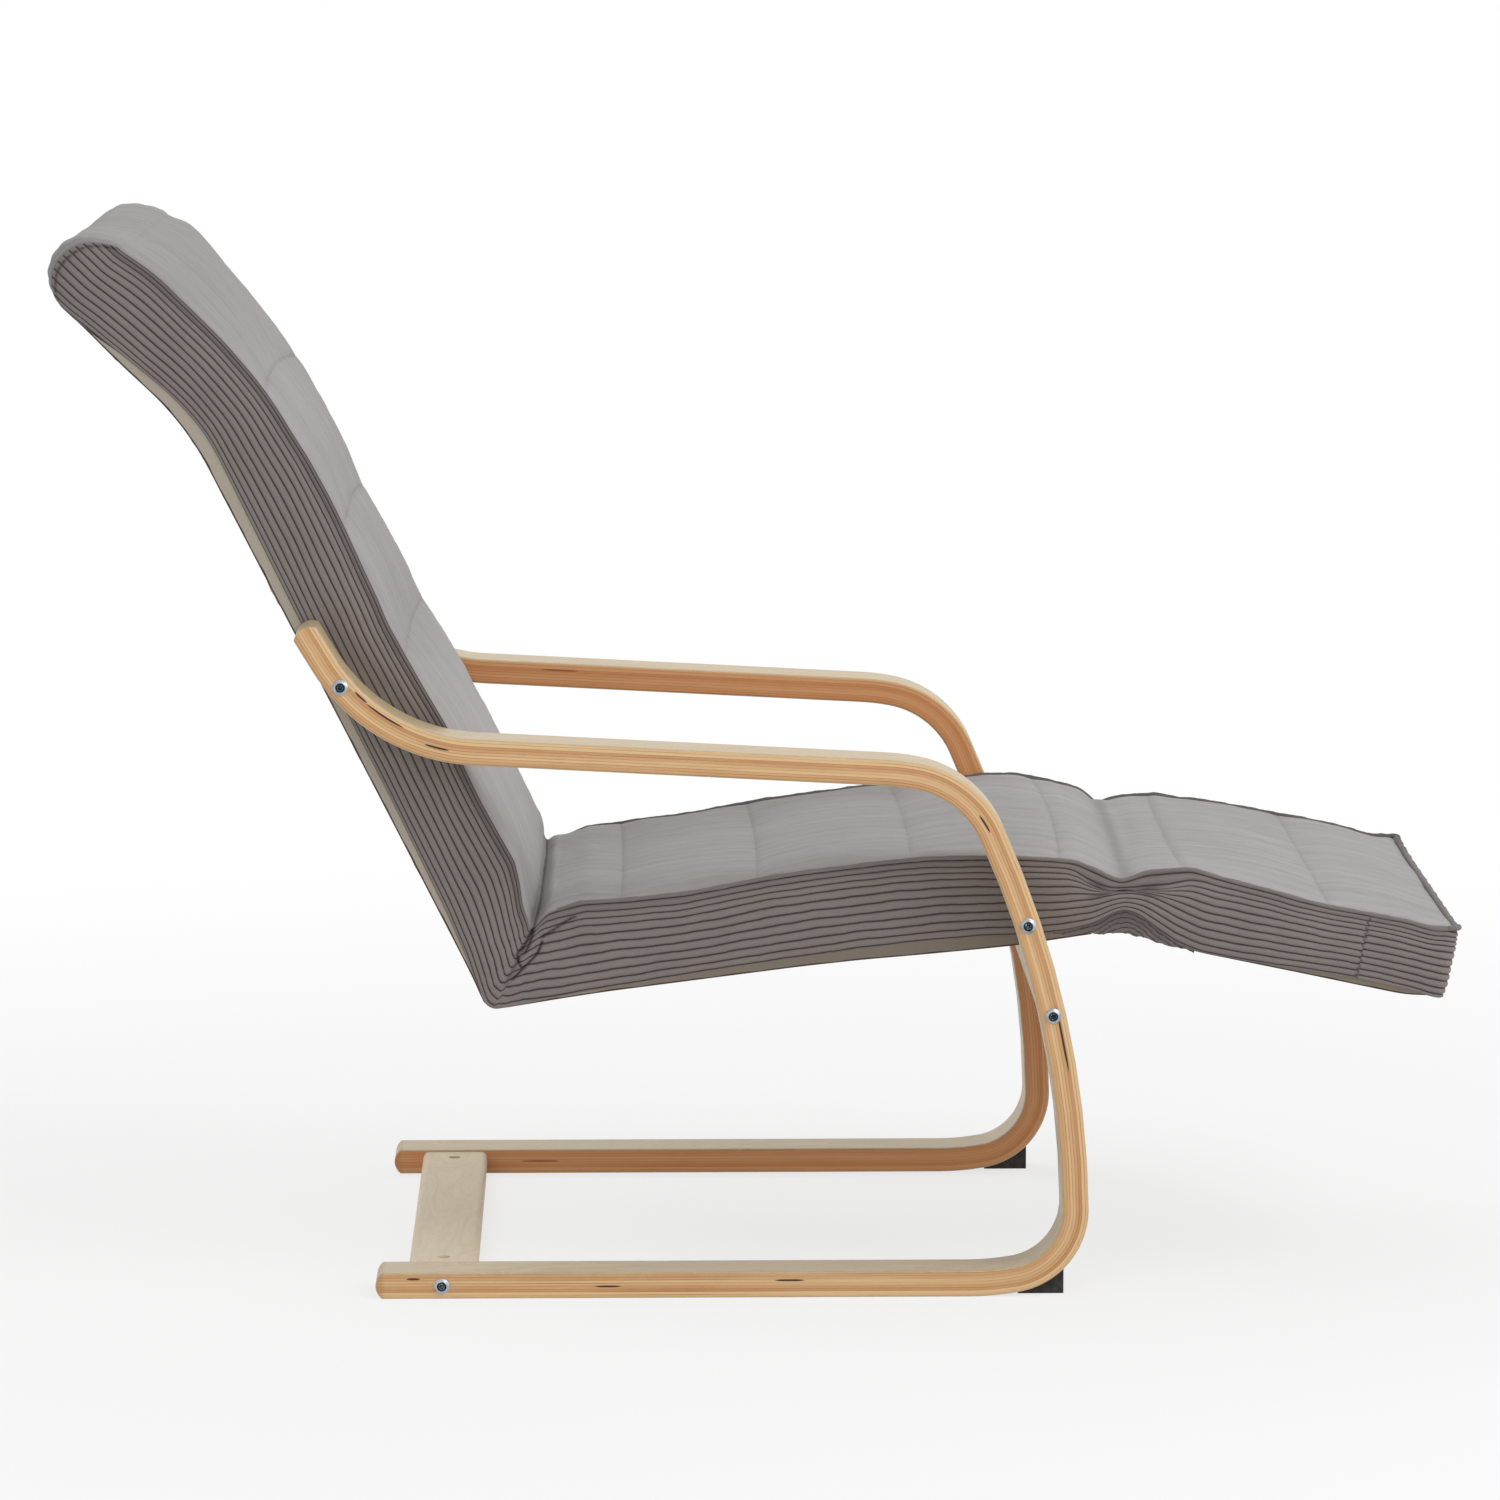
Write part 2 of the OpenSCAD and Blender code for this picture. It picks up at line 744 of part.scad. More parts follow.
module barrel_nuts()
  color("silver")
    both_sides()
      for (p = [base_bolt, leg_bolt])
        difference() {
          nut_place(p)
            cylinder(r = nut_r, h = nut_len, center = true);
          axle(p, frame_in - board_bolt_in, frame_in, bolt_r + hole_gap);
        }

module tee_nuts()
  color("silver")
    both_sides()
      for (p = [arm_bolt, seat_bolt])
        difference() {
          union() {
            axle(p, rail_in - tee_t, rail_in, tee_r);
            axle(p, rail_in - tee_t, rail_in + tee_barrel_len, tee_barrel_r);
          }
          axle(p, rail_in - tee_t - over, rail_in + tee_barrel_len + over, bolt_r + hole_gap);
        }

module crossbar_screws()
  color("silver")
    both_sides()
      for (p = bar_screws(frame_bars))
        bar_screw(p, rail_out);

// Seat half of a hinge, with the folded tab for its spring
module hinge_plate()
  color("lightgray")
    difference() {
      union() {
        across(plate_in, rail_in)
          at(hinge) {
            circle(plate_r);
            translate([-plate_len, -plate_w/2])
              square([plate_len, plate_w]);
          }
        across(arm_in, rail_in)
          at(shift(hinge, -leaf_len))
            translate([0, disc_r - tab_low])
              square([tab_len, tab_low + tab_high]);
      }
      axle(hinge, plate_in - over, rail_in + over, pivot_r + hole_gap);
      for (p = plate_screws)
        axle(p, plate_in - over, rail_in + over, screw_r + hole_gap);
    }

module left_hinge_plate() hinge_plate();
module right_hinge_plate() mirror([1, 0, 0]) hinge_plate();

module hinge_pivots()
  color("silver")
    both_sides() {
      axle(hinge, pivot_in, pivot_in + pivot_head_t, pivot_head_r);
      axle(hinge, pivot_in, pivot_out, pivot_r);
      axle(hinge, rail_in, pivot_out, pivot_head_r);
    }

// Leaf spring whose round tip rests in a notch of the disc
module detent_spring()
  color("slategray")
    across(arm_in, arm_out)
      at(hinge) {
        translate([-leaf_len, disc_r + tab_high])
          square([leaf_len, leaf_t]);
        translate([0, disc_r + leaf_tip_lift])
          circle(leaf_tip_r);
      }

module left_detent_spring() detent_spring();
module right_detent_spring() mirror([1, 0, 0]) detent_spring();

// Screw through a hinge plate into its rail
module plate_screw(p, face) {
  axle(p, face - screw_head_h, face, screw_head_r);
  axle(p, face - screw_head_h, face + plate_screw_len, screw_r);
}

module hinge_plate_screws()
  color("silver")
    both_sides()
      for (p = plate_screws)
        plate_screw(p, plate_in);

module footrest_rail()
  color("tan")
    difference() {
      across(arm_out, rest_out)
        at(rest_start)
          translate([rest_rail_start, rest_rail_low])
            square([rest_rail_end - rest_rail_start, rail_depth]);
      for (p = bar_screws(rest_bars))
        bar_screw(p, rest_out, hole_gap);
      for (p = arm_screws)
        axle(p, arm_out - over, arm_in + plate_screw_len + hole_gap, screw_r + hole_gap);
    }

module left_footrest_rail() footrest_rail();
module right_footrest_rail() mirror([1, 0, 0]) footrest_rail();

module footrest_rear_crossbar() crossbar(rest_bars[0], arm_out, rest_out);
module footrest_end_crossbar() crossbar(rest_bars[1], arm_out, rest_out);

module footrest_webbing()
  straps(
    shift(rest_start, rest_rail_start), rest_rail_end - rest_rail_start,
    rest_straps, rest_rail_top, rest_out - strap_side_in
  );

module footrest_outline()
  at(rest_start)
    difference() {
      translate([crease_gap, rest_cover_low])
        square([rest_len - crease_gap, rest_rise - rest_cover_low]);
      mirror([1, 0])
        fold_space();
      round_off(crease_gap, rest_rise, 90, rest_crease_r);
      round_off(rest_len, rest_rise, 0, rest_end_r);
      round_off(rest_len, rest_cover_low, -90, rest_end_r);
    }

module footrest_cushion()
  color("gray")
    difference() {
      across(-pad_half, pad_half)
        footrest_outline();
      across(-skirt_in, skirt_in)
        at(rest_start)
          translate([0, rest_cover_low - over])
            square([rest_rail_end + side_clear, rest_pad_low - rest_cover_low + over]);
      both_sides()
        axle(hinge, pivot_in - fit_gap, pivot_out + fit_gap, plate_r + pocket_gap);
    }

module footrest_lining()
  color("darkkhaki")
    across(fit_gap - skirt_in, skirt_in - fit_gap)
      at(shift(rest_start, crease_gap - rest_cover_low/tan(fold_cut)))
        translate([0, rest_cover_low])
          square([rest_rail_end - crease_gap + rest_cover_low/tan(fold_cut), lining_t]);

// Footrest half of a hinge, with a notch for each stop
module footrest_arm()
  color("lightgray")
    across(arm_in, arm_out)
      difference() {
        union() {
          at(hinge)
            circle(disc_r);
          at(rest_start)
            translate([0, -arm_w/2])
              square([arm_len, arm_w]);
        }
        at(hinge) {
          circle(pivot_r + hole_gap);
          for (i = [0:stops - 1])
            rotate(90 + i*stop_turn)
              translate([disc_r, 0])
                circle(notch_r);
        }
        for (p = arm_screws)
          at(p)
            circle(screw_r + hole_gap);
      }

module left_footrest_arm() footrest_arm();
module right_footrest_arm() mirror([1, 0, 0]) footrest_arm();

module footrest_arm_screws()
  color("silver")
    both_sides()
      for (p = arm_screws)
        plate_screw(p, arm_in);

module footrest_crossbar_screws()
  color("silver")
    both_sides()
      for (p = bar_screws(rest_bars))
        bar_screw(p, rest_out);

left_side_frame();
right_side_frame();
rear_base_board();
leg_cross_board();
left_front_foot();
right_front_foot();
left_frame_rail();
right_frame_rail();
head_crossbar();
lumbar_crossbar();
seat_rear_crossbar();
seat_front_crossbar();
back_webbing();
seat_webbing();
back_cushion();
seat_cushion();
frame_lining();
frame_bolts();
board_bolts();
barrel_nuts();
tee_nuts();
crossbar_screws();
left_hinge_plate();
right_hinge_plate();
hinge_pivots();
left_detent_spring();
right_detent_spring();
hinge_plate_screws();
left_footrest_rail();
right_footrest_rail();
footrest_rear_crossbar();
footrest_end_crossbar();
footrest_webbing();
footrest_cushion();
footrest_lining();
left_footrest_arm();
right_footrest_arm();
footrest_arm_screws();
footrest_crossbar_screws();
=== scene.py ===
"""Dresses the relax chair: its long ribbed cover, linings, bent wood and hardware."""

from __future__ import annotations

import logging
import math
from collections.abc import Callable
from dataclasses import dataclass, field
from enum import Enum

import bmesh
import bpy
import numpy as np
from bpy.types import ID, Material, Mesh, Node, NodeSocket, NodeTree, Object, World
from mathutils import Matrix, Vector


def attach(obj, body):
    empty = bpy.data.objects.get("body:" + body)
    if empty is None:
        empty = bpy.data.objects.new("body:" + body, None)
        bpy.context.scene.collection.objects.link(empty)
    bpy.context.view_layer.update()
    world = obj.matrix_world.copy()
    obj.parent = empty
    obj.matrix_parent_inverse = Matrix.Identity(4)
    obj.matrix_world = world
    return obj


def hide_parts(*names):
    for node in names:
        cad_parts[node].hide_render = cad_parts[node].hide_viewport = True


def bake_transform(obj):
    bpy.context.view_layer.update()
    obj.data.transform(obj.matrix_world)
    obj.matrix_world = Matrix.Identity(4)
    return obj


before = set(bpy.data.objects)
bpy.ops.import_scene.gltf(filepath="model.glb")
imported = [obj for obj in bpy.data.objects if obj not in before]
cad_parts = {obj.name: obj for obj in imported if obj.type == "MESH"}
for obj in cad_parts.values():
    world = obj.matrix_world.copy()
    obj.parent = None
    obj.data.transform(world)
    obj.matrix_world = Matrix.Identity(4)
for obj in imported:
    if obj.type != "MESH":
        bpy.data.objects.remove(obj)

LOG = logging.getLogger("relax_chair")
# Rows and grids of numbers.
Grid = np.ndarray
# One millimetre in metres, and the forward place of the shared frame's origin in millimetres.
MM = 0.001
MIDDLE = 359.809


class Body(Enum):
    """The two bodies that a piece can ride on."""

    CHAIR = "chair"
    FOOTREST = "footrest"


class Face(Enum):
    """The two looks that the one cover fabric has."""

    PANEL = 0
    RIBBED = 1


def ease(value: Grid | float, low: float, high: float) -> Grid:
    """Gives a soft step that leaves 0 at low and reaches 1 at high."""
    part = np.clip((np.asarray(value, float) - low) / (high - low), 0, 1)
    return part * part * (3 - 2 * part)


def bell(value: Grid | float, middle: float, width: float) -> Grid:
    """Gives a soft bump of height 1, which has mostly gone a width away from its middle."""
    return np.exp(-(((np.asarray(value, float) - middle) / width) ** 2))


@dataclass(frozen=True)
class Ripple:
    """A repeatable wandering of cloth, from -1 to 1."""

    seed: int
    length: float
    waves: int = 5

    def at(self, along: Grid, across: Grid | float = 0.0) -> Grid:
        """Reads the ripple.

        Args:
            along: Places along the cloth, in millimetres.
            across: Places across the cloth, in millimetres.

        Returns:
            The ripple at each place.
        """
        chance = np.random.default_rng(self.seed)
        total, most = 0.0, 0.0
        for wave in range(self.waves):
            turn = 2 * math.pi / (self.length * 0.61**wave)
            lean, start = chance.uniform(-1, 1), chance.uniform(0, 2 * math.pi)
            total = total + np.sin(along * turn + across * turn * lean + start) * 0.72**wave
            most += 0.72**wave
        return total / most * 1.6


@dataclass(frozen=True)
class Profile:
    """A level that changes along the chair, through knots of (place, level)."""

    knots: tuple[tuple[float, float], ...]
    soft: float = 7.0

    def at(self, along: Grid | float) -> Grid:
        """Reads the smoothed level.

        Args:
            along: Places along the mid-line, in millimetres.

        Returns:
            The level at each place.
        """
        where, level = np.array(self.knots).T
        grid = np.arange(where[0] - 40, where[-1] + 40, 1.0)
        half = int(3 * self.soft)
        weight = bell(np.arange(-half, half + 1), 0, self.soft * 1.4)
        dense = np.pad(np.interp(grid, where, level), half, mode="edge")
        return np.interp(along, grid, np.convolve(dense, weight / weight.sum(), "valid"))


def walk(place: tuple, run: Grid | float, rate: float) -> tuple:
    """Goes on from one place in the side view, straight or round.

    Args:
        place: Forward place, height and heading at the start.
        run: Distances from the start.
        rate: The turn in radians per millimetre, 0 when straight.

    Returns:
        Forward place, height and heading.
    """
    u, z, heading = place
    end = heading + rate * run
    if rate == 0:
        return u + run * math.cos(heading), z + run * math.sin(heading), end
    return (
        u + (np.sin(end) - math.sin(heading)) / rate,
        z - (np.cos(end) - math.cos(heading)) / rate,
        end,
    )


@dataclass(frozen=True)
class MidLine:
    """The line through the middle of the rails, 0 at the corner, minus up the back."""

    corner: tuple[float, float] = (113.127, 293.433)
    back_turn: float = -63.2
    seat_turn: float = 7.3
    rest_turn: float = -12.0
    neck_at: float = 563.6
    neck_r: float = 300.0
    neck_turn: float = 19.5
    hinge_at: float = 608.4
    fold_r: float = 107.0
    outer_r: float = 15.0
    low: float = -21.5
    tighten_share: float = 0.35
    blend_reach: float = 150.0

    @property
    def half_corner(self) -> float:
        """Half of the turn between back and seat, in radians."""
        return math.radians((self.seat_turn - self.back_turn) / 2)

    def _leg(self, reach: Grid, heading: float, bend: tuple[float, float, float]) -> tuple:
        """Walks one leg of the line from the corner: straight, round its bend, straight.

        Args:
            reach: Distances from the corner.
            heading: The leg's first heading, in radians.
            bend: Where the bend begins, its length, and its turn in radians per millimetre.

        Returns:
            Forward place, height and heading at each distance.
        """
        begin, length, rate = bend
        start = (*self.corner, heading)
        first = walk(start, begin, 0.0)
        last = walk(first, length, rate)
        before, within = walk(start, reach, 0.0), walk(first, reach - begin, rate)
        after = walk(last, reach - begin - length, 0.0)
        return tuple(
            np.where(reach > begin + length, c, np.where(reach > begin, b, a))
            for a, b, c in zip(before, within, after)
        )

    def line(self, along: Grid, reach: Grid) -> tuple:
        """Finds the mid-line.

        Args:
            along: Places, whose sign says which leg they are on.
            reach: Distances from the corner along that leg.

        Returns:
            Forward place, height, and heading towards the footrest.
        """
        up = math.radians(self.back_turn) + math.pi
        arc = self.neck_r * math.radians(self.neck_turn)
        back = self._leg(reach, up, (self.neck_at, arc, 1 / self.neck_r))
        fold = self.fold_r * math.radians(self.seat_turn - self.rest_turn)
        bend = (self.hinge_at - fold / 2, fold, -1 / self.fold_r)
        seat = self._leg(reach, math.radians(self.seat_turn), bend)
        behind = along < 0
        u, z = (np.where(behind, b, s) for b, s in zip(back[:2], seat[:2]))
        return u, z, np.where(behind, back[2] - math.pi, seat[2])

    def place(self, along: Grid, level: Grid) -> Grid:
        """Places points of the cover in the side view, mitred and rounded at the corner.

        Args:
            along: Places along the mid-line.
            level: Heights above the mid-line, towards the sitter.

        Returns:
            Forward places and heights, as the last axis.
        """
        along, level = np.broadcast_arrays(np.asarray(along, float), np.asarray(level, float))
        half = self.half_corner
        lean = math.tan(half)
        near = np.clip(1 - np.abs(along) / self.blend_reach, 0, 1) ** 2
        reach = np.abs(along) + lean * level * near
        u, z, heading = self.line(along, reach)
        spot = np.stack([u - level * np.sin(heading), z + level * np.cos(heading)], -1)
        radius = np.clip(self.outer_r - (level - self.low) * self.tighten_share, 1.0, None)
        tangent = radius * lean
        beyond = reach - lean * level
        middle = math.radians(self.back_turn) + half
        rise = np.array([-math.sin(middle), math.cos(middle)])
        run = np.array([math.cos(middle), math.sin(middle)])
        turn = half * np.clip(beyond / tangent, 0, 1) * np.where(along < 0, -1, 1)
        mitre = np.array(self.corner) + rise * (level / math.cos(half))[..., None]
        centre = mitre + rise * (radius / math.cos(half))[..., None]
        swing = np.sin(turn)[..., None] * run - np.cos(turn)[..., None] * rise
        rounded = centre + radius[..., None] * swing
        on_arc = (np.abs(along) < self.blend_reach) & (beyond < tangent)
        return np.where(on_arc[..., None], rounded, spot)

    def world(self, across: Grid, along: Grid, level: Grid) -> Grid:
        """Places points in the shared frame.

        Args:
            across: Places across the chair.
            along: Places along the mid-line.
            level: Heights above the mid-line.

        Returns:
            Points in metres, as the last axis.
        """
        side = self.place(along, level)
        across = np.broadcast_to(across, side.shape[:-1])
        return np.stack([across, MIDDLE - side[..., 0], side[..., 1]], -1) * MM


@dataclass(frozen=True)
class StripPath:
    """The middle of a bent side frame, from the rear of the floor rail to the rear tip."""

    start: tuple[float, float] = (0.0, 12.5)
    runs: tuple[tuple[float, float], ...] = (
        (559, 0), (260, 10), (68, 81), (910, 23.4), (98, 54), (211, 8.6), (389, 0),
        (175, -55.8), (33, 0),
    )
    half_thick: float = 12.5
    spare: float = 12.0

    def samples(self, step: float = 1.0) -> Grid:
        """Walks the middle of the strip.

        Args:
            step: Distance between samples.

        Returns:
            Rows of distance, forward place, height and heading.
        """
        rows, heading = [], 0.0
        u, z, gone = self.start[0] - self.spare, self.start[1], -self.spare
        runs = list(self.runs)
        runs[0] = (runs[0][0] + self.spare, 0)
        runs[-1] = (runs[-1][0] + self.spare, 0)
        for size, turn in runs:
            angle = math.radians(turn)
            length = size * abs(angle) if turn else size
            rate = angle / length
            count = max(2, int(length / step))
            for part in np.arange(count) * length / count:
                rows.append((gone + part, *walk((u, z, heading), part, rate)))
            u, z, heading = walk((u, z, heading), length, rate)
            gone += length
        return np.array(rows)

    def unroll(self, spots: Grid) -> Grid:
        """Finds how far along the strip, and how far through its plies, points lie.

        Args:
            spots: Forward places and heights.

        Returns:
            Distances along and through the strip, in millimetres.
        """
        rows = self.samples()
        gap = spots[:, None, :] - rows[None, :, 1:3]
        nearest = np.argmin((gap**2).sum(-1), 1)
        row = rows[nearest]
        off = spots - row[:, 1:3]
        run = np.stack([np.cos(row[:, 3]), np.sin(row[:, 3])], -1)
        along = row[:, 0] + (off * run).sum(-1)
        through = off[:, 1] * run[:, 0] - off[:, 0] * run[:, 1]
        return np.stack([along, through], -1)

    def room(self, spots: Grid) -> Grid:
        """Tells how far the strip's faces are from points of the cover.

        Args:
            spots: Forward places and heights.

        Returns:
            Distances in millimetres, negative inside the strip's outline.
        """
        flat = spots.reshape(-1, 2)
        least = np.full(len(flat), np.inf)
        for row in self.samples(6.0)[:, 1:3]:
            least = np.minimum(least, np.hypot(*(flat - row).T))
        return least.reshape(spots.shape[:-1]) - self.half_thick


@dataclass(frozen=True)
class Wire:
    """One output of a node, which takes part in sums by adding Math nodes."""

    kit: NodeKit
    socket: NodeSocket

    def __add__(self, other: Wire | float) -> Wire:
        """Adds another value."""
        return self.kit.math("ADD", self, other)

    def __mul__(self, other: Wire | float) -> Wire:
        """Multiplies by another value."""
        return self.kit.math("MULTIPLY", self, other)

    def __truediv__(self, other: Wire | float) -> Wire:
        """Divides by another value."""
        return self.kit.math("DIVIDE", self, other)

    def __sub__(self, other: Wire | float) -> Wire:
        """Takes another value away."""
        return self.kit.math("SUBTRACT", self, other)

    def __rsub__(self, other: float) -> Wire:
        """Takes this value away from a number."""
        return self.kit.math("SUBTRACT", other, self)

    def __abs__(self) -> Wire:
        """Drops the sign."""
        return self.kit.math("ABSOLUTE", self)


class NodeKit:
    """Adds nodes to a material or a node group in few words."""

    def __init__(self, tree: NodeTree) -> None:
        """Keeps the tree that nodes are added to."""
        self.tree = tree

    def add(self, kind: str, inputs: dict | None = None, **facts: object) -> Node:
        """Adds one node.

        Args:
            kind: The node's type.
            inputs: Constants or wires by input name or number.
            facts: Properties of the node.

        Returns:
            The node.
        """
        node = self.tree.nodes.new(kind)
        for name, value in facts.items():
            setattr(node, name, value)
        for name, value in (inputs or {}).items():
            if isinstance(value, Wire):
                self.tree.links.new(value.socket, node.inputs[name])
            else:
                node.inputs[name].default_value = value
        return node

    def wires(self, node: Node) -> dict[str, Wire]:
        """Gives a node's outputs by name."""
        return {socket.name: Wire(self, socket) for socket in node.outputs}

    def take(self, kind: str, inputs: dict | None = None, output: int | str = 0, **facts: object) -> Wire:
        """Adds one node and gives one of its outputs."""
        return Wire(self, self.add(kind, inputs, **facts).outputs[output])

    def math(self, operation: str, *values: Wire | float) -> Wire:
        """Adds a Math node."""
        return self.take("ShaderNodeMath", dict(enumerate(values)), operation=operation)

    def clamp(self, value: Wire) -> Wire:
        """Keeps a value from 0 to 1."""
        return self.take("ShaderNodeClamp", {0: value})

    def step(self, value: Wire, low: float, high: float) -> Wire:
        """Adds a soft step from 0 at low to 1 at high."""
        inputs = {"Value": value, "From Min": low, "From Max": high}
        return self.take("ShaderNodeMapRange", inputs, interpolation_type="SMOOTHSTEP")

    def mix(self, share: Wire | float, first: Wire | Colour, second: Wire | Colour) -> Wire:
        """Adds a colour mix."""
        return self.take("ShaderNodeMix", {0: share, 6: first, 7: second}, 2, data_type="RGBA")

    def noise(self, at: Wire, scale: Wire | float, detail: float = 3.0, rough: float = 0.55) -> Wire:
        """Adds a noise texture."""
        inputs = {"Vector": at, "Scale": scale, "Detail": detail, "Roughness": rough}
        return self.take("ShaderNodeTexNoise", inputs, "Fac")

    def grown(self, at: Wire, scale: tuple[float, float, float], detail: float, rough: float = 0.55) -> Wire:
        """Adds a noise texture that is scaled differently along each axis."""
        return self.noise(self.stretch(at, scale), 1.0, detail, rough)

    def stretch(self, at: Wire, scale: tuple[float, float, float]) -> Wire:
        """Scales coordinates along each axis."""
        return self.take("ShaderNodeMapping", {"Vector": at, "Scale": scale})

    def split(self, at: Wire) -> tuple[Wire, ...]:
        """Splits coordinates into their three parts."""
        return tuple(self.wires(self.add("ShaderNodeSeparateXYZ", {0: at})).values())

    def join(self, x: Wire | float, y: Wire | float, z: Wire | float) -> Wire:
        """Joins three parts into coordinates."""
        return self.take("ShaderNodeCombineXYZ", {0: x, 1: y, 2: z})

    def bump(self, height: Wire, strength: float, distance: float) -> Wire:
        """Adds a bump and gives its normal."""
        inputs = {"Height": height, "Strength": strength, "Distance": distance}
        return self.take("ShaderNodeBump", inputs)

    def piece_at(self, output: str = "Object") -> Wire:
        """Gives the piece's own coordinates, or its own normal, which ride with it."""
        return self.take("ShaderNodeTexCoord", output=output)

    def mapped(self, name: str) -> Wire:
        """Reads one of the piece's maps."""
        return self.take("ShaderNodeUVMap", uv_map=name)

    def stored(self, name: str) -> Wire:
        """Reads a number stored at each point of the piece."""
        return self.take("ShaderNodeAttribute", output="Fac", attribute_name=name)


def open_nodes(owner: Material | World) -> NodeKit:
    """Empties the node tree of a material or a world, and gives its kit.

    Args:
        owner: The material or the world.
    """
    owner.use_nodes = True
    owner.node_tree.nodes.clear()
    return NodeKit(owner.node_tree)


class Effects:
    """The shader node groups that several finishes share."""

    def __init__(self) -> None:
        """Builds each group once."""
        self.groups = {
            "nap": self._group("Cloth nap", {"At": None, "Thread": 1600.0, "Patch": 22.0}, self._nap),
            "grain": self._group("Birch grain", {"At": None, "Fineness": 1.0, "Flame": 1.0}, self._grain),
            "marks": self._group("Handling marks", {"At": None, "Scratch": 700.0}, self._marks),
            "slit": self._group(
                "Parted plies", {"Strip": None, "Along": 0.0, "Through": 0.0, "Half": 0.02}, self._slit
            ),
        }

    @staticmethod
    def _group(name: str, ins: dict[str, float | None], build: Callable) -> NodeTree:
        """Builds one group.

        Args:
            name: The group's name.
            ins: Input names, each with a default number, or None for coordinates.
            build: Adds the group's nodes and gives its outputs by name.

        Returns:
            The group.
        """
        tree = bpy.data.node_groups.new(name, "ShaderNodeTree")
        for key, value in ins.items():
            kind = "NodeSocketVector" if value is None else "NodeSocketFloat"
            socket = tree.interface.new_socket(key, in_out="INPUT", socket_type=kind)
            if value is not None:
                socket.default_value = value
        kit = NodeKit(tree)
        made = build(kit, kit.wires(kit.add("NodeGroupInput")))
        for key in made:
            tree.interface.new_socket(key, in_out="OUTPUT", socket_type="NodeSocketFloat")
        kit.add("NodeGroupOutput", made)
        return tree

    @staticmethod
    def _nap(kit: NodeKit, start: dict[str, Wire]) -> dict[str, Wire]:
        """Adds the fuzzy nap of cloth: a tone and a fine height."""
        at, fine = start["At"], kit.noise(start["At"], start["Thread"], 2.0, 0.5)
        return {"Tone": fine * 0.62 + kit.noise(at, start["Patch"], 4.0, 0.5) * 0.38, "Height": fine}

    @staticmethod
    def _grain(kit: NodeKit, start: dict[str, Wire]) -> dict[str, Wire]:
        """Adds the lengthwise grain of birch: a tone and a fine height.

        Args:
            kit: The node kit.
            start: The inputs by name.

        Returns:
            The outputs by name.
        """
        sway = kit.grown(start["At"], (2.5, 14, 14), 2.0)
        inputs = {0: start["At"], 1: kit.join(0.0, sway * 0.012, sway)}
        shifted = kit.take("ShaderNodeVectorMath", inputs, operation="ADD")
        lines = kit.grown(shifted, (7, 900, 900), 3.0, 0.6)
        fibres = kit.grown(start["At"], (90, 3200, 3200), 2.0)
        flame = kit.grown(shifted, (3.2, 60, 60), 3.0)
        tone = lines * 0.5 + fibres * 0.22 + flame * (start["Flame"] * 0.28)
        return {"Tone": tone, "Height": fibres * start["Fineness"] + lines}

    @staticmethod
    def _marks(kit: NodeKit, start: dict[str, Wire]) -> dict[str, Wire]:
        """Adds the smudges and fine scratches of handled metal and rubber."""
        scratch = kit.noise(kit.stretch(start["At"], (1.0, 0.12, 1.0)), start["Scratch"], 5.0, 0.5)
        return {"Smudge": kit.step(kit.noise(start["At"], 160.0, 4.0), 0.35, 0.7), "Scratch": scratch}

    @staticmethod
    def _slit(kit: NodeKit, start: dict[str, Wire]) -> dict[str, Wire]:
        """Adds one thin slit that runs along a strip and narrows to its ends: a mask.

        Args:
            kit: The node kit.
            start: The inputs by name.

        Returns:
            The outputs by name.
        """
        half_height, blur = 0.0011, 0.0003
        along, through, _ = kit.split(start["Strip"])
        share = kit.math("POWER", abs((along - start["Along"]) / start["Half"]), 4.0)
        width = share * -half_height + half_height
        return {"Mask": kit.step(width - abs(through - start["Through"]), 0.0, blur)}

    def use(self, kit: NodeKit, group: str, **inputs: Wire | float) -> dict[str, Wire]:
        """Places a group in a material and gives its outputs."""
        return kit.wires(kit.add("ShaderNodeGroup", inputs, node_tree=self.groups[group]))


Colour = tuple[float, float, float, float]
WHITE: Colour = (1.0, 1.0, 1.0, 1.0)


def shade(red: float, green: float, blue: float) -> Colour:
    """Turns a screen colour of 0 to 255 into the linear colour that shaders take."""
    parts = [c / 255 for c in (red, green, blue)]
    return (*[c / 12.92 if c <= 0.04045 else ((c + 0.055) / 1.055) ** 2.4 for c in parts], 1.0)


Surface = dict[str, "Wire | float"]


class Finish:
    """What every finish shares: a fresh material with one Principled shader."""

    effects: Effects
    name: str

    def surface(self, kit: NodeKit) -> Surface:
        """Adds the finish's own nodes, and gives what each of the shader's sockets takes."""
        raise NotImplementedError

    def build(self) -> Material:
        """Builds the material.

        Returns:
            The material.
        """
        material = bpy.data.materials.new(self.name)
        kit = open_nodes(material)
        shader = kit.take("ShaderNodeBsdfPrincipled", self.surface(kit))
        kit.add("ShaderNodeOutputMaterial", {"Surface": shader})
        return material


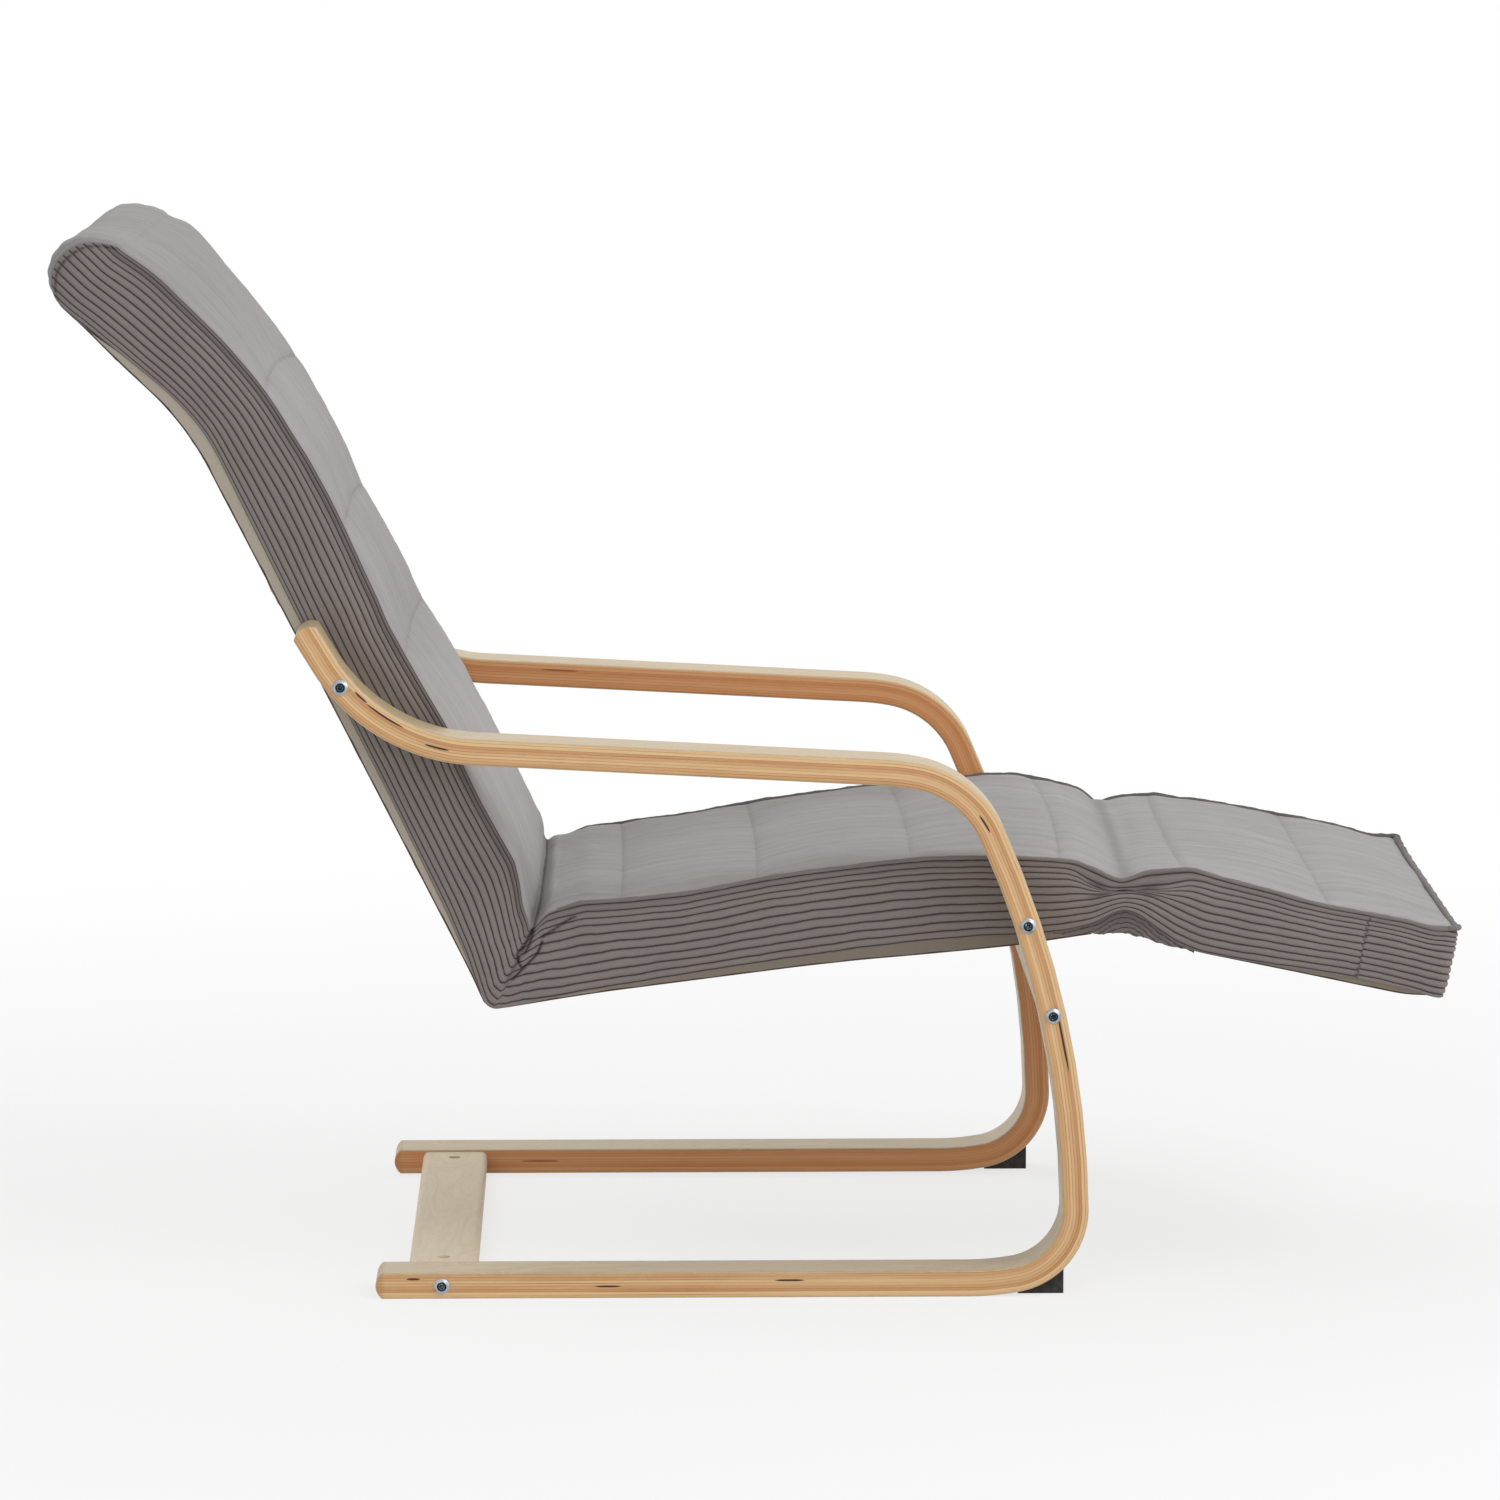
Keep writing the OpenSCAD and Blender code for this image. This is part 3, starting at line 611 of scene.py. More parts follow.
@dataclass(frozen=True)
class PanelFabric(Finish):
    """The sitting side of the cover: fine lengthwise wales, painted lighter on the lower back and painted
    darker on the head and seat.
    """

    light: Colour = shade(183, 181, 180)
    dark: Colour = shade(133, 130, 129)
    # The colour of painted shade: in creases, along seams and channels, and over the head and the seat.
    fold: Colour = shade(84, 78, 78)
    # The colour of the painted light on the lower back.
    painted_light: Colour = shade(235, 234, 233)
    wale: float = 0.0031
    name: str = "cover_panel_fabric"

    def surface(self, kit: NodeKit) -> Surface:
        """Adds the wales, their broken shade, and the painted light and painted shade that change from part
        to part.

        Args:
            kit: The node kit.

        Returns:
            The shader's inputs.
        """
        cloth = kit.mapped("cloth")
        along, across, _ = kit.split(cloth)
        place = across + kit.grown(cloth, (6, 40, 1), 2.0) * 0.004
        wale = kit.math("SINE", place * (2 * math.pi / self.wale)) * 0.5 + 0.5
        broken = kit.step(kit.grown(cloth, (26, 260, 1), 3.0), 0.35, 0.75)
        nap = self.effects.use(kit, "nap", At=kit.piece_at(), Thread=1500.0, Patch=9.0)
        streak = kit.grown(cloth, (3.0, 55, 1), 4.0)
        share = (1 - wale) * broken * 0.4 + streak * 0.7 - 0.38 + nap["Tone"] * 0.8
        colour = kit.mix(kit.clamp(share), self.light, self.dark)
        # Painted light on the lower back, and painted shade on the head and the seat, which even out how the
        # lamps light these parts.
        low_back_painted_light = kit.step(along, -0.34, -0.16) * kit.step(along, -0.01, -0.06)
        seat = kit.step(along, 0.02, 0.08) * kit.step(along, 0.56, 0.5)
        head = kit.step(along, -0.56, -0.72)
        colour = kit.mix(low_back_painted_light * 0.15, colour, self.painted_light)
        colour = kit.mix(head * 0.15 + seat * 0.1, colour, self.fold)
        # Painted shade in the creases, along the stitched channels and at the seam edge, from the stored
        # marks.
        colour = kit.mix(kit.stored("folds"), colour, self.fold)
        height = wale * 0.55 + nap["Height"] * 0.6
        return {
            "Roughness": 0.92, "Specular IOR Level": 0.15, "Sheen Weight": 0.12, "Sheen Roughness": 0.5,
            "Base Color": colour, "Normal": kit.bump(height, 0.5, 0.0006),
        }


@dataclass(frozen=True)
class RibbedFabric(Finish):
    """The sides of the cover: wide round ribs, with painted shade in the narrow grooves between them."""

    light: Colour = shade(138, 131, 127)
    dark: Colour = shade(115, 107, 104)
    # The colour of painted shade: in the grooves, and in creases and hollows.
    groove_shade: Colour = shade(62, 52, 54)
    groove_share: float = 0.155
    name: str = "cover_ribbed_fabric"

    def surface(self, kit: NodeKit) -> Surface:
        """Adds painted shade in the grooves between the ribs and on their flanks, and the nap on them.

        Args:
            kit: The node kit.

        Returns:
            The shader's inputs.
        """
        at = kit.piece_at()
        _, phase, _ = kit.split(kit.mapped("cloth"))
        edge = 0.5 - abs(kit.math("FRACT", phase) - 0.5)
        edge = edge + (kit.noise(at, 900.0, 3.0) * 0.07 - 0.035)
        # Painted shade in the grooves and on the ribs' flanks, then from the stored marks.
        groove_shade = kit.step(edge, self.groove_share, self.groove_share * 0.25)
        nap = self.effects.use(kit, "nap", At=at, Thread=1300.0, Patch=14.0)
        share = nap["Tone"] * 1.5 - 0.45 + kit.step(edge, 0.34, 0.05) * 0.4
        colour = kit.mix(kit.clamp(share), self.light, self.dark)
        colour = kit.mix(groove_shade * 0.92, colour, self.groove_shade)
        colour = kit.mix(kit.stored("folds"), colour, self.groove_shade)
        return {
            "Roughness": 0.94, "Specular IOR Level": 0.12, "Sheen Weight": 0.15, "Sheen Roughness": 0.5,
            "Base Color": colour, "Normal": kit.bump(nap["Height"], 0.55, 0.0009),
        }


@dataclass(frozen=True)
class LiningCloth(Finish):
    """The thin beige cloth behind the back and under the seat."""

    light: Colour = shade(180, 172, 158)
    dark: Colour = shade(150, 142, 128)
    # The colour of the dark line at the rim.
    thread: Colour = shade(74, 63, 57)
    shadow: Colour = shade(126, 116, 104)
    name: str = "lining_cloth"

    def surface(self, kit: NodeKit) -> Surface:
        """Adds the weave, the painted shade under the seat and the footrest, and the dark line at the rim.

        Args:
            kit: The node kit.

        Returns:
            The shader's inputs.
        """
        at = kit.piece_at()
        nap = self.effects.use(kit, "nap", At=at, Thread=900.0, Patch=7.0)
        inputs = {"Vector": at, "Scale": 520.0, "Distortion": 1.5, "Detail": 2.0, "Detail Scale": 3.0}
        weave = kit.take("ShaderNodeTexWave", inputs, "Fac", bands_direction="DIAGONAL")
        share = kit.clamp(nap["Tone"] * 1.3 + (weave * 0.2 - 0.4))
        folds = kit.stored("folds")
        cloth = kit.mix(share, self.light, self.dark)
        # Painted shade under the seat and the footrest, then the dark line at the rim.
        cloth = kit.mix(kit.step(folds, 0.0, 0.35), cloth, self.shadow)
        cloth = kit.mix(kit.step(folds, 0.35, 0.85), cloth, self.thread)
        return {
            "Roughness": 0.85, "Specular IOR Level": 0.2,
            "Base Color": cloth, "Normal": kit.bump(weave, 0.25, 0.0004),
        }


@dataclass(frozen=True)
class ElasticWebbing(Finish):
    """The straps that carry the pads: tight elastic with lengthwise cords."""

    light: Colour = shade(196, 189, 172)
    dark: Colour = shade(96, 90, 82)
    cord: float = 0.0034
    name: str = "elastic_webbing"

    def surface(self, kit: NodeKit) -> Surface:
        """Adds the cords.

        Args:
            kit: The node kit.

        Returns:
            The shader's inputs.
        """
        at = kit.piece_at()
        nap = self.effects.use(kit, "nap", At=at, Thread=1100.0, Patch=12.0)
        _, y, z = kit.split(at)
        cords = kit.math("SINE", (y + z) * (2 * math.pi / self.cord))
        share = nap["Tone"] * 0.5 + kit.step(cords, 0.2, 0.9) * 0.3
        colour = kit.mix(share, self.light, self.dark)
        return {
            "Roughness": 0.8, "Specular IOR Level": 0.25,
            "Base Color": colour, "Normal": kit.bump(cords, 0.3, 0.0004),
        }


@dataclass(frozen=True)
class Slit:
    """A place where two plies have parted, in metres along and through the strip."""

    along: float
    through: float
    length: float


@dataclass(frozen=True)
class FrameLaminate(Finish):
    """Bent birch plies: striped edges with dark glue slits, pale veneer on the broad faces."""

    pale: Colour = shade(224, 188, 140)
    deep: Colour = shade(178, 116, 58)
    slit: Colour = shade(62, 30, 12)
    veneer: Colour = shade(211, 192, 156)
    veneer_deep: Colour = shade(177, 151, 112)
    glue: Colour = shade(166, 98, 46)
    # The deeper orange of the painted shade on the faces that look inward.
    inner: Colour = shade(206, 120, 56)
    end_grain: Colour = shade(170, 116, 66)
    name: str = "frame_laminate"
    ply: float = 0.00285
    near_slits: tuple[Slit, ...] = (
        Slit(1.708, -0.0074, 0.018), Slit(1.678, -0.0067, 0.046), Slit(1.620, 0.0005, 0.026),
        Slit(1.085, 0.0010, 0.022), Slit(0.865, -0.0045, 0.068), Slit(0.388, 0.0044, 0.030),
        Slit(0.215, -0.0008, 0.026), Slit(0.030, 0.0068, 0.014),
    )
    far_slits: tuple[Slit, ...] = (
        Slit(1.508, -0.0050, 0.041), Slit(0.383, 0.0120, 0.083), Slit(0.145, 0.0005, 0.042),
    )

    def parted(self, kit: NodeKit, strip: Wire, slits: tuple[Slit, ...]) -> Wire:
        """Marks where two plies of one frame have parted.

        Args:
            kit: The node kit.
            strip: The place along and through the strip.
            slits: The frame's slits.

        Returns:
            The mask, 1 in a slit.
        """
        mask = 0.0
        for slit in slits:
            one = self.effects.use(
                kit, "slit", Strip=strip, Along=slit.along, Through=slit.through, Half=slit.length / 2
            )
            mask = kit.math("MAXIMUM", mask, one["Mask"])
        return mask

    def surface(self, kit: NodeKit) -> Surface:
        """Adds the plies with their glue and slits, painted shade on the faces that look inward, the broad
        faces' veneer and the cut ends.

        Args:
            kit: The node kit.

        Returns:
            The shader's inputs.
        """
        strip = kit.mapped("strip")
        along, through, _ = kit.split(strip)
        x, _, _ = kit.split(kit.piece_at())
        grain = self.effects.use(kit, "grain", At=kit.join(along, through, x))
        number = (through + 0.2) / self.ply
        layer, inside = kit.math("FLOOR", number), kit.math("FRACT", number)
        edge = kit.math("MINIMUM", inside, 1 - inside)
        tint = kit.take("ShaderNodeTexWhiteNoise", {"Vector": kit.join(layer, 3.7, 0.0)}, "Value")
        bond = kit.step(kit.noise(kit.join(along * 3.0, layer, 5.1), 1.0, 2.0), 0.4, 0.62)
        glue = kit.step(edge, 0.15, 0.04) * bond
        long = kit.noise(kit.join(along * 9.0, layer * 7.3, 0.0), 1.0, 3.0)
        share = long * 0.6 + (tint * 0.8 + grain["Tone"] * 0.7 - 0.78) + glue * 0.5
        plies = kit.mix(kit.clamp(share), self.pale, self.deep)
        plies = kit.mix(glue * 0.8, plies, self.glue)
        gap = kit.noise(kit.join(along * 13.0, layer * 11.7, 0.0), 1.0, 1.0)
        stray = kit.step(gap, 0.745, 0.77) * kit.step(edge, 0.17, 0.07)
        far = kit.step(x, -0.01, 0.01)
        seen = self.parted(kit, strip, self.far_slits) * far
        seen = seen + self.parted(kit, strip, self.near_slits) * (1 - far)
        slit = kit.math("MAXIMUM", stray, seen)
        plies = kit.mix(slit, plies, self.slit)
        broad = kit.mix(kit.step(grain["Tone"], 0.3, 0.75), self.veneer, self.veneer_deep)
        facing = kit.split(kit.piece_at("Normal"))[0]
        # Painted shade: the ply faces that look inward, towards the other frame, are painted a deeper
        # orange.
        inward = kit.step(kit.math("SIGN", x) * facing, -0.7, -0.9)
        plies = kit.mix(inward * 0.5, plies, self.inner)
        colour = kit.mix(kit.step(abs(facing), 0.72, 0.9), broad, plies)
        tip = kit.math("MAXIMUM", kit.step(along, 0.004, -0.002), kit.step(along, 2.3, 2.31))
        colour = kit.mix(tip * 0.45, colour, self.end_grain)
        depth = grain["Height"] * 0.3 - slit * 2.0
        return {
            "Roughness": 0.42, "Specular IOR Level": 0.4, "Coat Weight": 0.12, "Coat Roughness": 0.3,
            "Base Color": colour, "Normal": kit.bump(depth, 0.35, 0.0005),
        }


@dataclass(frozen=True)
class SawnTimber(Finish):
    """Plain timber or veneered board with its grain along the piece."""

    name: str
    pale: Colour
    deep: Colour
    axis: int = 0
    gloss: float = 0.45

    def surface(self, kit: NodeKit) -> Surface:
        """Adds the grain.

        Args:
            kit: The node kit.

        Returns:
            The shader's inputs.
        """
        parts = list(kit.split(kit.piece_at()))
        first = parts.pop(self.axis)
        grain = self.effects.use(kit, "grain", At=kit.join(first, *parts), Flame=1.3)
        colour = kit.mix(kit.step(grain["Tone"], 0.3, 0.75), self.pale, self.deep)
        return {
            "Roughness": self.gloss, "Specular IOR Level": 0.35,
            "Base Color": colour, "Normal": kit.bump(grain["Height"], 0.2, 0.0004),
        }


@dataclass(frozen=True)
class PlatedSteel(Finish):
    """Zinc or dark plated steel with smudges and fine scratches."""

    name: str
    tone: Colour
    worn: Colour
    rough: float = 0.28

    def coat(self, kit: NodeKit) -> Wire:
        """Gives the colour of the plating."""
        smudge = self.effects.use(kit, "marks", At=kit.piece_at())["Smudge"]
        return kit.mix(smudge * 0.6, self.tone, self.worn)

    def surface(self, kit: NodeKit) -> Surface:
        """Adds the plating, its smudges and its scratches.

        Args:
            kit: The node kit.

        Returns:
            The shader's inputs.
        """
        marks = self.effects.use(kit, "marks", At=kit.piece_at())
        return {
            "Metallic": 1.0, "Coat Weight": 0.08, "Roughness": marks["Smudge"] * 0.16 + self.rough,
            "Base Color": self.coat(kit), "Normal": kit.bump(marks["Scratch"], 0.08, 0.0002),
        }


@dataclass(frozen=True)
class BoltSteel(PlatedSteel):
    """Bright domed bolt heads, with a painted dark reflection in a ring where the dome turns into the
    socket, and a painted bright reflection on the socket's floor.
    """

    # The dark of the painted reflection in the ring and in spots.
    ring: Colour = shade(30, 40, 46)
    # The brightness of the painted reflection on the socket's floor.
    floor: Colour = shade(214, 222, 226)

    def coat(self, kit: NodeKit) -> Wire:
        """Gives the colour of the plating, with its painted dark reflections in a ring and in spots, and the
        painted highlight on the socket's floor.

        Args:
            kit: The node kit.

        Returns:
            The colour.
        """
        wander = kit.noise(kit.piece_at(), 320.0, 2.0)
        reach = wander * 0.8 + (kit.stored("reach") - 0.4)
        # Painted reflections: a dark ring, dark spots, and a brighter socket floor.
        ring = kit.step(reach, 2.5, 2.9) * kit.step(reach, 4.9, 4.3)
        dark_reflection_spots = kit.step(kit.noise(kit.piece_at(), 260.0, 1.0), 0.62, 0.7)
        colour = kit.mix(kit.step(reach, 2.9, 2.4), super().coat(kit), self.floor)
        return kit.mix(dark_reflection_spots * 0.35 + ring, colour, self.ring)


@dataclass(frozen=True)
class FootRubber(Finish):
    """Black moulded feet with a fine pebble and scuffed dust."""

    tone: Colour = shade(34, 31, 30)
    dust: Colour = shade(88, 82, 78)
    name: str = "foot_black"

    def surface(self, kit: NodeKit) -> Surface:
        """Adds the dust and the pebble.

        Args:
            kit: The node kit.

        Returns:
            The shader's inputs.
        """
        marks = self.effects.use(kit, "marks", At=kit.piece_at(), Scratch=420.0)
        colour = kit.mix(marks["Smudge"] * 0.28, self.tone, self.dust)
        inputs = {"Vector": kit.piece_at(), "Scale": 1400.0}
        pebble = kit.take("ShaderNodeTexVoronoi", inputs, "Distance")
        return {
            "Roughness": 0.6, "Specular IOR Level": 0.35,
            "Base Color": colour, "Normal": kit.bump(pebble, 0.3, 0.0004),
        }


def grid_faces(index: Grid) -> Grid:
    """Gives the four corners of every cell of a grid of point numbers."""
    return np.stack([index[:-1, :-1], index[1:, :-1], index[1:, 1:], index[:-1, 1:]], -1).reshape(-1, 4)


def points_of(mesh: Mesh) -> Grid:
    """Gives a mesh's points in metres."""
    return np.array([vert.co[:] for vert in mesh.vertices])


def put_map(mesh: Mesh, name: str, places: Grid) -> None:
    """Stores a map that has one place for each point."""
    corners = np.array([loop.vertex_index for loop in mesh.loops])
    mesh.uv_layers.new(name=name).data.foreach_set("uv", places.reshape(-1, 2)[corners].ravel())


def put_number(mesh: Mesh, name: str, values: Grid) -> None:
    """Stores a number for each point."""
    layer = mesh.attributes.new(name, "FLOAT", "POINT")
    layer.data.foreach_set("value", values.ravel().astype(np.float32))


def put_object(name: str, data: ID) -> Object:
    """Adds an object to the scene.

    Args:
        name: The object's name.
        data: Its mesh, camera or lamp.

    Returns:
        The object.
    """
    made = bpy.data.objects.new(name, data)
    bpy.context.scene.collection.objects.link(made)
    return made


@dataclass
class Patch:
    """One grid of the cover, by its two axes."""

    rows: Grid
    columns: Grid
    spots: Grid
    cloth: Grid
    # How dark each point is painted: shade in creases, tucks and hollows and under seams, and dark stitched
    # lines.
    folds: Grid
    face: Face
    outward: bool = True

    def spread(self, moves: Grid, rows: Grid, columns: Grid) -> Grid:
        """Reads moves known on this grid at a finer grid, and lets them die out at its rims."""
        down, over = self._weights(rows, self.rows), self._weights(columns, self.columns)
        return np.einsum("ij,jkc,lk->ilc", down, moves, over)

    @staticmethod
    def _weights(fine: Grid, coarse: Grid) -> Grid:
        """Finds how much each coarse line counts at each fine one.

        Args:
            fine: The finer axis.
            coarse: The coarser axis.

        Returns:
            One row of weights for each fine line.
        """
        gap = float(np.median(np.diff(coarse)))
        total = np.zeros((len(fine), len(coarse)))
        for offset, weight in ((-0.6, 0.25), (0.0, 0.5), (0.6, 0.25)):
            reads = [np.interp(fine + offset * gap, coarse, unit) for unit in np.eye(len(coarse))]
            total += weight * np.stack(reads, -1)
        rims = ease(fine - fine[0], 0, gap) * ease(fine[-1] - fine, 0, gap)
        return total * rims[:, None]


@dataclass
class Weave:
    """How finely the cover's grids are cut."""

    stations: Grid
    across: Grid
    drop: Grid
    fan: Grid
    turn: Grid


@dataclass
class LongCover:
    """The one padded cover over back, seat and footrest."""

    finishes: list[Material]
    mid: MidLine = field(default_factory=MidLine)
    strip: StripPath = field(default_factory=StripPath)
    half_width: float = 276.2
    head_at: float = -773.7
    head_r: float = 39.8
    head_up: float = 19.3
    head_gap: float = 0.055
    head_short: float = 3.5
    head_cut: float = 5.0
    head_blend: float = 70.0
    end_at: float = 918.4
    end_r: float = 9.0
    end_dip: float = 3.0
    cavity_end: float = 906.9
    skirt_in: float = 274.5
    roof_gap: float = 2.5
    rib_depth: float = 1.3
    rib_rows: tuple[tuple[float, float, float], ...] = ((0.5, 1.3, 0.09), (0.3, 0.9, 0.07))
    rib_stray: tuple[float, float, float] = (0.11, 0.045, 0.13)
    rib_shift: tuple[float, float] = (0.5, 0.3)
    pinch_at: float = 599.4
    pinch_before: float = 52.0
    pinch_after: float = 78.0
    stitched_at: float = 833.0
    hinge_cover: float = 23.0
    hinge_edge: tuple[float, float] = (9.0, 2.5)
    tuck_width: float = 1.3
    mitre_width: float = 3.2
    knot_row: tuple[float, float] = (4.5, 2.0)
    tucks: tuple[tuple[tuple[float, float], ...], ...] = (
        ((32, 51), (28, 39), (24, 31)),
        ((21, 36), (16, 29), (18, 20), (21.5, 15.5)),
        ((40, 41), (36, 31), (30, 24), (21.5, 15.5), (12, 5.5)),
        ((40, 46), (50, 52), (58, 58), (70, 65)),
    )
    pressure: float = 4.0
    frames: int = 20
    most_swell: float = 24.0
    side_swell: tuple[float, float] = (1.2, 3.2)
    seam: Profile = Profile((
        (-773.7, 57), (-755, 60), (-741, 62), (-725, 63), (-698, 62.4), (-660, 61.8), (-629, 61.5),
        (-600, 63), (-565, 64.6), (-530, 68), (-490, 69), (-466, 68.6), (-430, 67), (-383, 65),
        (-355, 62.8), (-323, 63.8), (-281, 65.6), (-241, 68), (-205, 64.6), (-165, 63.8), (-128, 65),
        (-95, 66.2), (-68, 61), (-41, 53.6), (-18, 51.5), (-4, 49), (0, 47.5), (3, 49.5), (9, 58), (16, 62),
        (30, 64), (76, 67.6), (124, 64.9), (185, 63.2), (224, 65.2), (264, 68), (303, 68.8), (382, 68.2),
        (421, 66.6), (459, 62.4), (498, 57.4), (536, 50.6), (560, 45), (578, 34.5), (590, 26), (599, 20.5),
        (607, 24.5), (617, 30.5), (634, 36.5), (657, 42.2), (686, 39.3), (712, 38), (739, 36.8),
        (766, 34.6), (792, 33.6), (829, 34.6), (870, 35.3), (895, 33.2), (912, 36.5), (918.4, 38.0),
    ), soft=4.0)
    lift: Profile = Profile((
        (-773.7, 5), (-755, 11), (-735, 8), (-704, 2.5), (-670, -0.5), (-644, -2), (-578, -3), (-530, -6),
        (-470, -9), (-430, -7.5), (-396, -5.5), (-359, -3), (-300, -2.5), (-240, -3), (-140, -1.5),
        (-95, -1), (-65, 5), (-40, 12), (-20, 10), (0, 0), (12, -8), (30, -12), (90, -9), (155, -6),
        (300, -7), (440, -6), (500, 1), (530, 3), (550, -1.5), (570, -1), (581, 2), (590, 3), (595, -1),
        (599, -7), (604, -7), (617, -6.5), (631, -6), (646, -7), (671, -5), (702, 0), (733, 3), (780, 7.5),
        (828, 8), (876, 6), (905, 6), (918.4, 5),
    ), soft=5.0)
    bow: Profile = Profile((
        (-773.7, 0), (-700, -6), (-603, -9), (-460, -9), (-331, -8), (-195, -4), (-60, 0), (20, 0),
        (122, 2), (256, 3), (404, 4), (544, 6), (590, 2), (610, 0), (651, -2), (793, 0), (918.4, 0),
    ), soft=14.0)
    near_skew: Profile = Profile(
        ((-773.7, 0), (-160, 0), (-50, 4), (0, 6), (50, 4), (160, 0), (918.4, 0)), soft=12.0
    )
    far_skew: Profile = Profile((
        (-773.7, 8), (-740, 8), (-700, 8), (-603, 10), (-460, 10), (-331, 9), (-195, 6), (-100, 6),
        (-40, 15), (0, 20), (40, 13), (110, 2), (170, 0), (500, 0), (560, 8.5), (640, 8.5), (720, 0),
        (918.4, 0),
    ), soft=10.0)
    crown: Profile = Profile((
        (-773.7, 3), (-700, 4), (-660, 5), (-500, 5), (-300, 6), (-120, 6), (-50, 7), (0, 9), (40, 6),
        (80, 4), (120, 3), (300, 3), (440, 5), (530, 8), (560, 8), (585, 2), (599, 0), (611, -3), (630, -2),
        (655, 1), (700, 4), (760, 5), (860, 5), (905, 3), (918.4, 0),
    ), soft=8.0)
    hem: Profile = Profile((
        (-773.7, -20.5), (-750, -18), (-705, -14.1), (-649, -10.3), (-598, -7.5), (-500, -8.8),
        (-416, -10.1), (-200, -11.5), (-90, -14), (-45, -17.5), (-18, -20.8), (0, -23.4), (20, -22.6),
        (60, -19), (110, -15.5), (240, -11.5), (333, -10.4), (411, -11), (450, -13), (489, -17), (540, -20),
        (570, -16), (590, -8), (600, -6), (612, -9), (625, -15), (640, -22), (656, -30), (680, -34),
        (728, -33.3), (780, -30.5), (832, -28.4), (890, -28.6), (905, -30.5), (918.4, -31),
    ), soft=5.0)
    ceiling: Profile = Profile((
        (-776, 21.3), (565, 21.3), (585, 19), (594, 16.5), (612, 16.5), (632, 14), (645, 13.3),
        (918.4, 13.3),
    ), soft=2.0)
    ribs: Profile = Profile(
        ((-773.7, 10.2), (-60, 10.2), (60, 9.2), (560, 9.2), (640, 9.4), (918.4, 9.4)), soft=10.0
    )
    channels: tuple[float, ...] = (-598, -455, -322, 122, 256, 404, 544, 651, 793)
    channel_dips: tuple[tuple[float, float], ...] = ((2.2, 20), (1.3, 5), (0.7, 1.5))
    shoulder: float = 3.2
    shoulder_width: float = 5.0
    held_width: float = 12.0
    side_height: float = 88.0
    foot_height: float = 62.0
    puff: float = 1.6
    stray_puff: float = 0.9
    foot_puff: float = 1.8
    free_room: tuple[float, float] = (2.0, 34.0)
    crease_depth: float = 5.0
    pinch_depth: float = 7.0
    pinch_shares: tuple[float, ...] = (0.0, 0.13, 0.53, 1.0)
    pinch_levels: tuple[float, float] = (13.5, 12.0)
    pinch_place: float = 0.32
    stitch_pitch: float = 3.4
    rays: tuple[tuple[float, float, float], ...] = ((1.0, 0.15, 0.04), (0.8, 0.5, 0.05))
    knot_turn: float = 33.0
    gather_turn: float = 9.5
    pucker: float = 0.6
    gather_depth: float = 1.5
    head_fill: tuple[float, float] = (6.5, 4.0)
    crease_at: float = 602.0
    valley_at: float = 603.0
    valley_width: float = 22.0
    ripple_width: float = 276.0
    stitches: int = 11
    wrap_reach: float = 130.0
    weld: float = 4e-5
    wander: Ripple = Ripple(11, 430.0, 4)
    sway: Ripple = Ripple(5, 64.0)
    slack: Ripple = Ripple(23, 120.0)

    def shift(self, along: Grid, across: Grid | float) -> Grid:
        """Tells how far the cloth's cross lines bow or run askew, in millimetres."""
        across = np.asarray(across, float)
        return self.bow.at(along) * (1 - across**2) + self.slide(along, across)

    def slide(self, along: Grid, across: Grid | float) -> Grid:
        """Tells how far the cover's cross lines run askew from side to side, in millimetres."""
        near, far = self.near_skew.at(along), self.far_skew.at(along)
        return near + (far - near) * (np.asarray(across) + 1) / 2

    def seam_level(self, along: Grid, side: Grid | float) -> Grid:
        """Gives the level of the top seam, near side -1 and far side 1."""
        return self.seam.at(along) + self.lift.at(along) * (np.asarray(side) + 1) / 2

    def short(self, swing: Grid | float) -> Grid:
        """Tells how far the head falls short of a full round, in millimetres, by its turn in radians."""
        back, shoulder = self.head_short * bell(swing, 1.3, 0.7), self.head_cut * bell(swing, 0.55, 0.4)
        return (back + shoulder) * ease(swing, 0, 0.3)

    def head_round(self, swing: Grid | float, top: Grid | float) -> tuple:
        """Follows the plain round of the head: how far back each turn lies, and its level."""
        reach = self.head_r + (top - self.head_up - self.head_r) * (0.5 + 0.5 * np.cos(swing))
        return reach * np.sin(swing) - self.short(swing), self.head_up + reach * np.cos(swing)

    def tucked(self, spots: Grid) -> Grid:
        """Marks the tucks of cloth beside the mitre, 1 in the middle of each.

        Args:
            spots: Places in the side view.

        Returns:
            The mark of each place, from 0 to 1.
        """
        marks = np.zeros(spots.shape[:-1])
        for tuck in self.tucks:
            points = np.array(tuck) + np.array(self.mid.corner)
            for start, end in zip(points[:-1], points[1:]):
                run = end - start
                share = np.clip((spots - start) @ run / (run @ run), 0, 1)
                gap = np.linalg.norm(spots - start - share[..., None] * run, axis=-1)
                marks = np.maximum(marks, bell(gap, 0, self.tuck_width))
        return marks

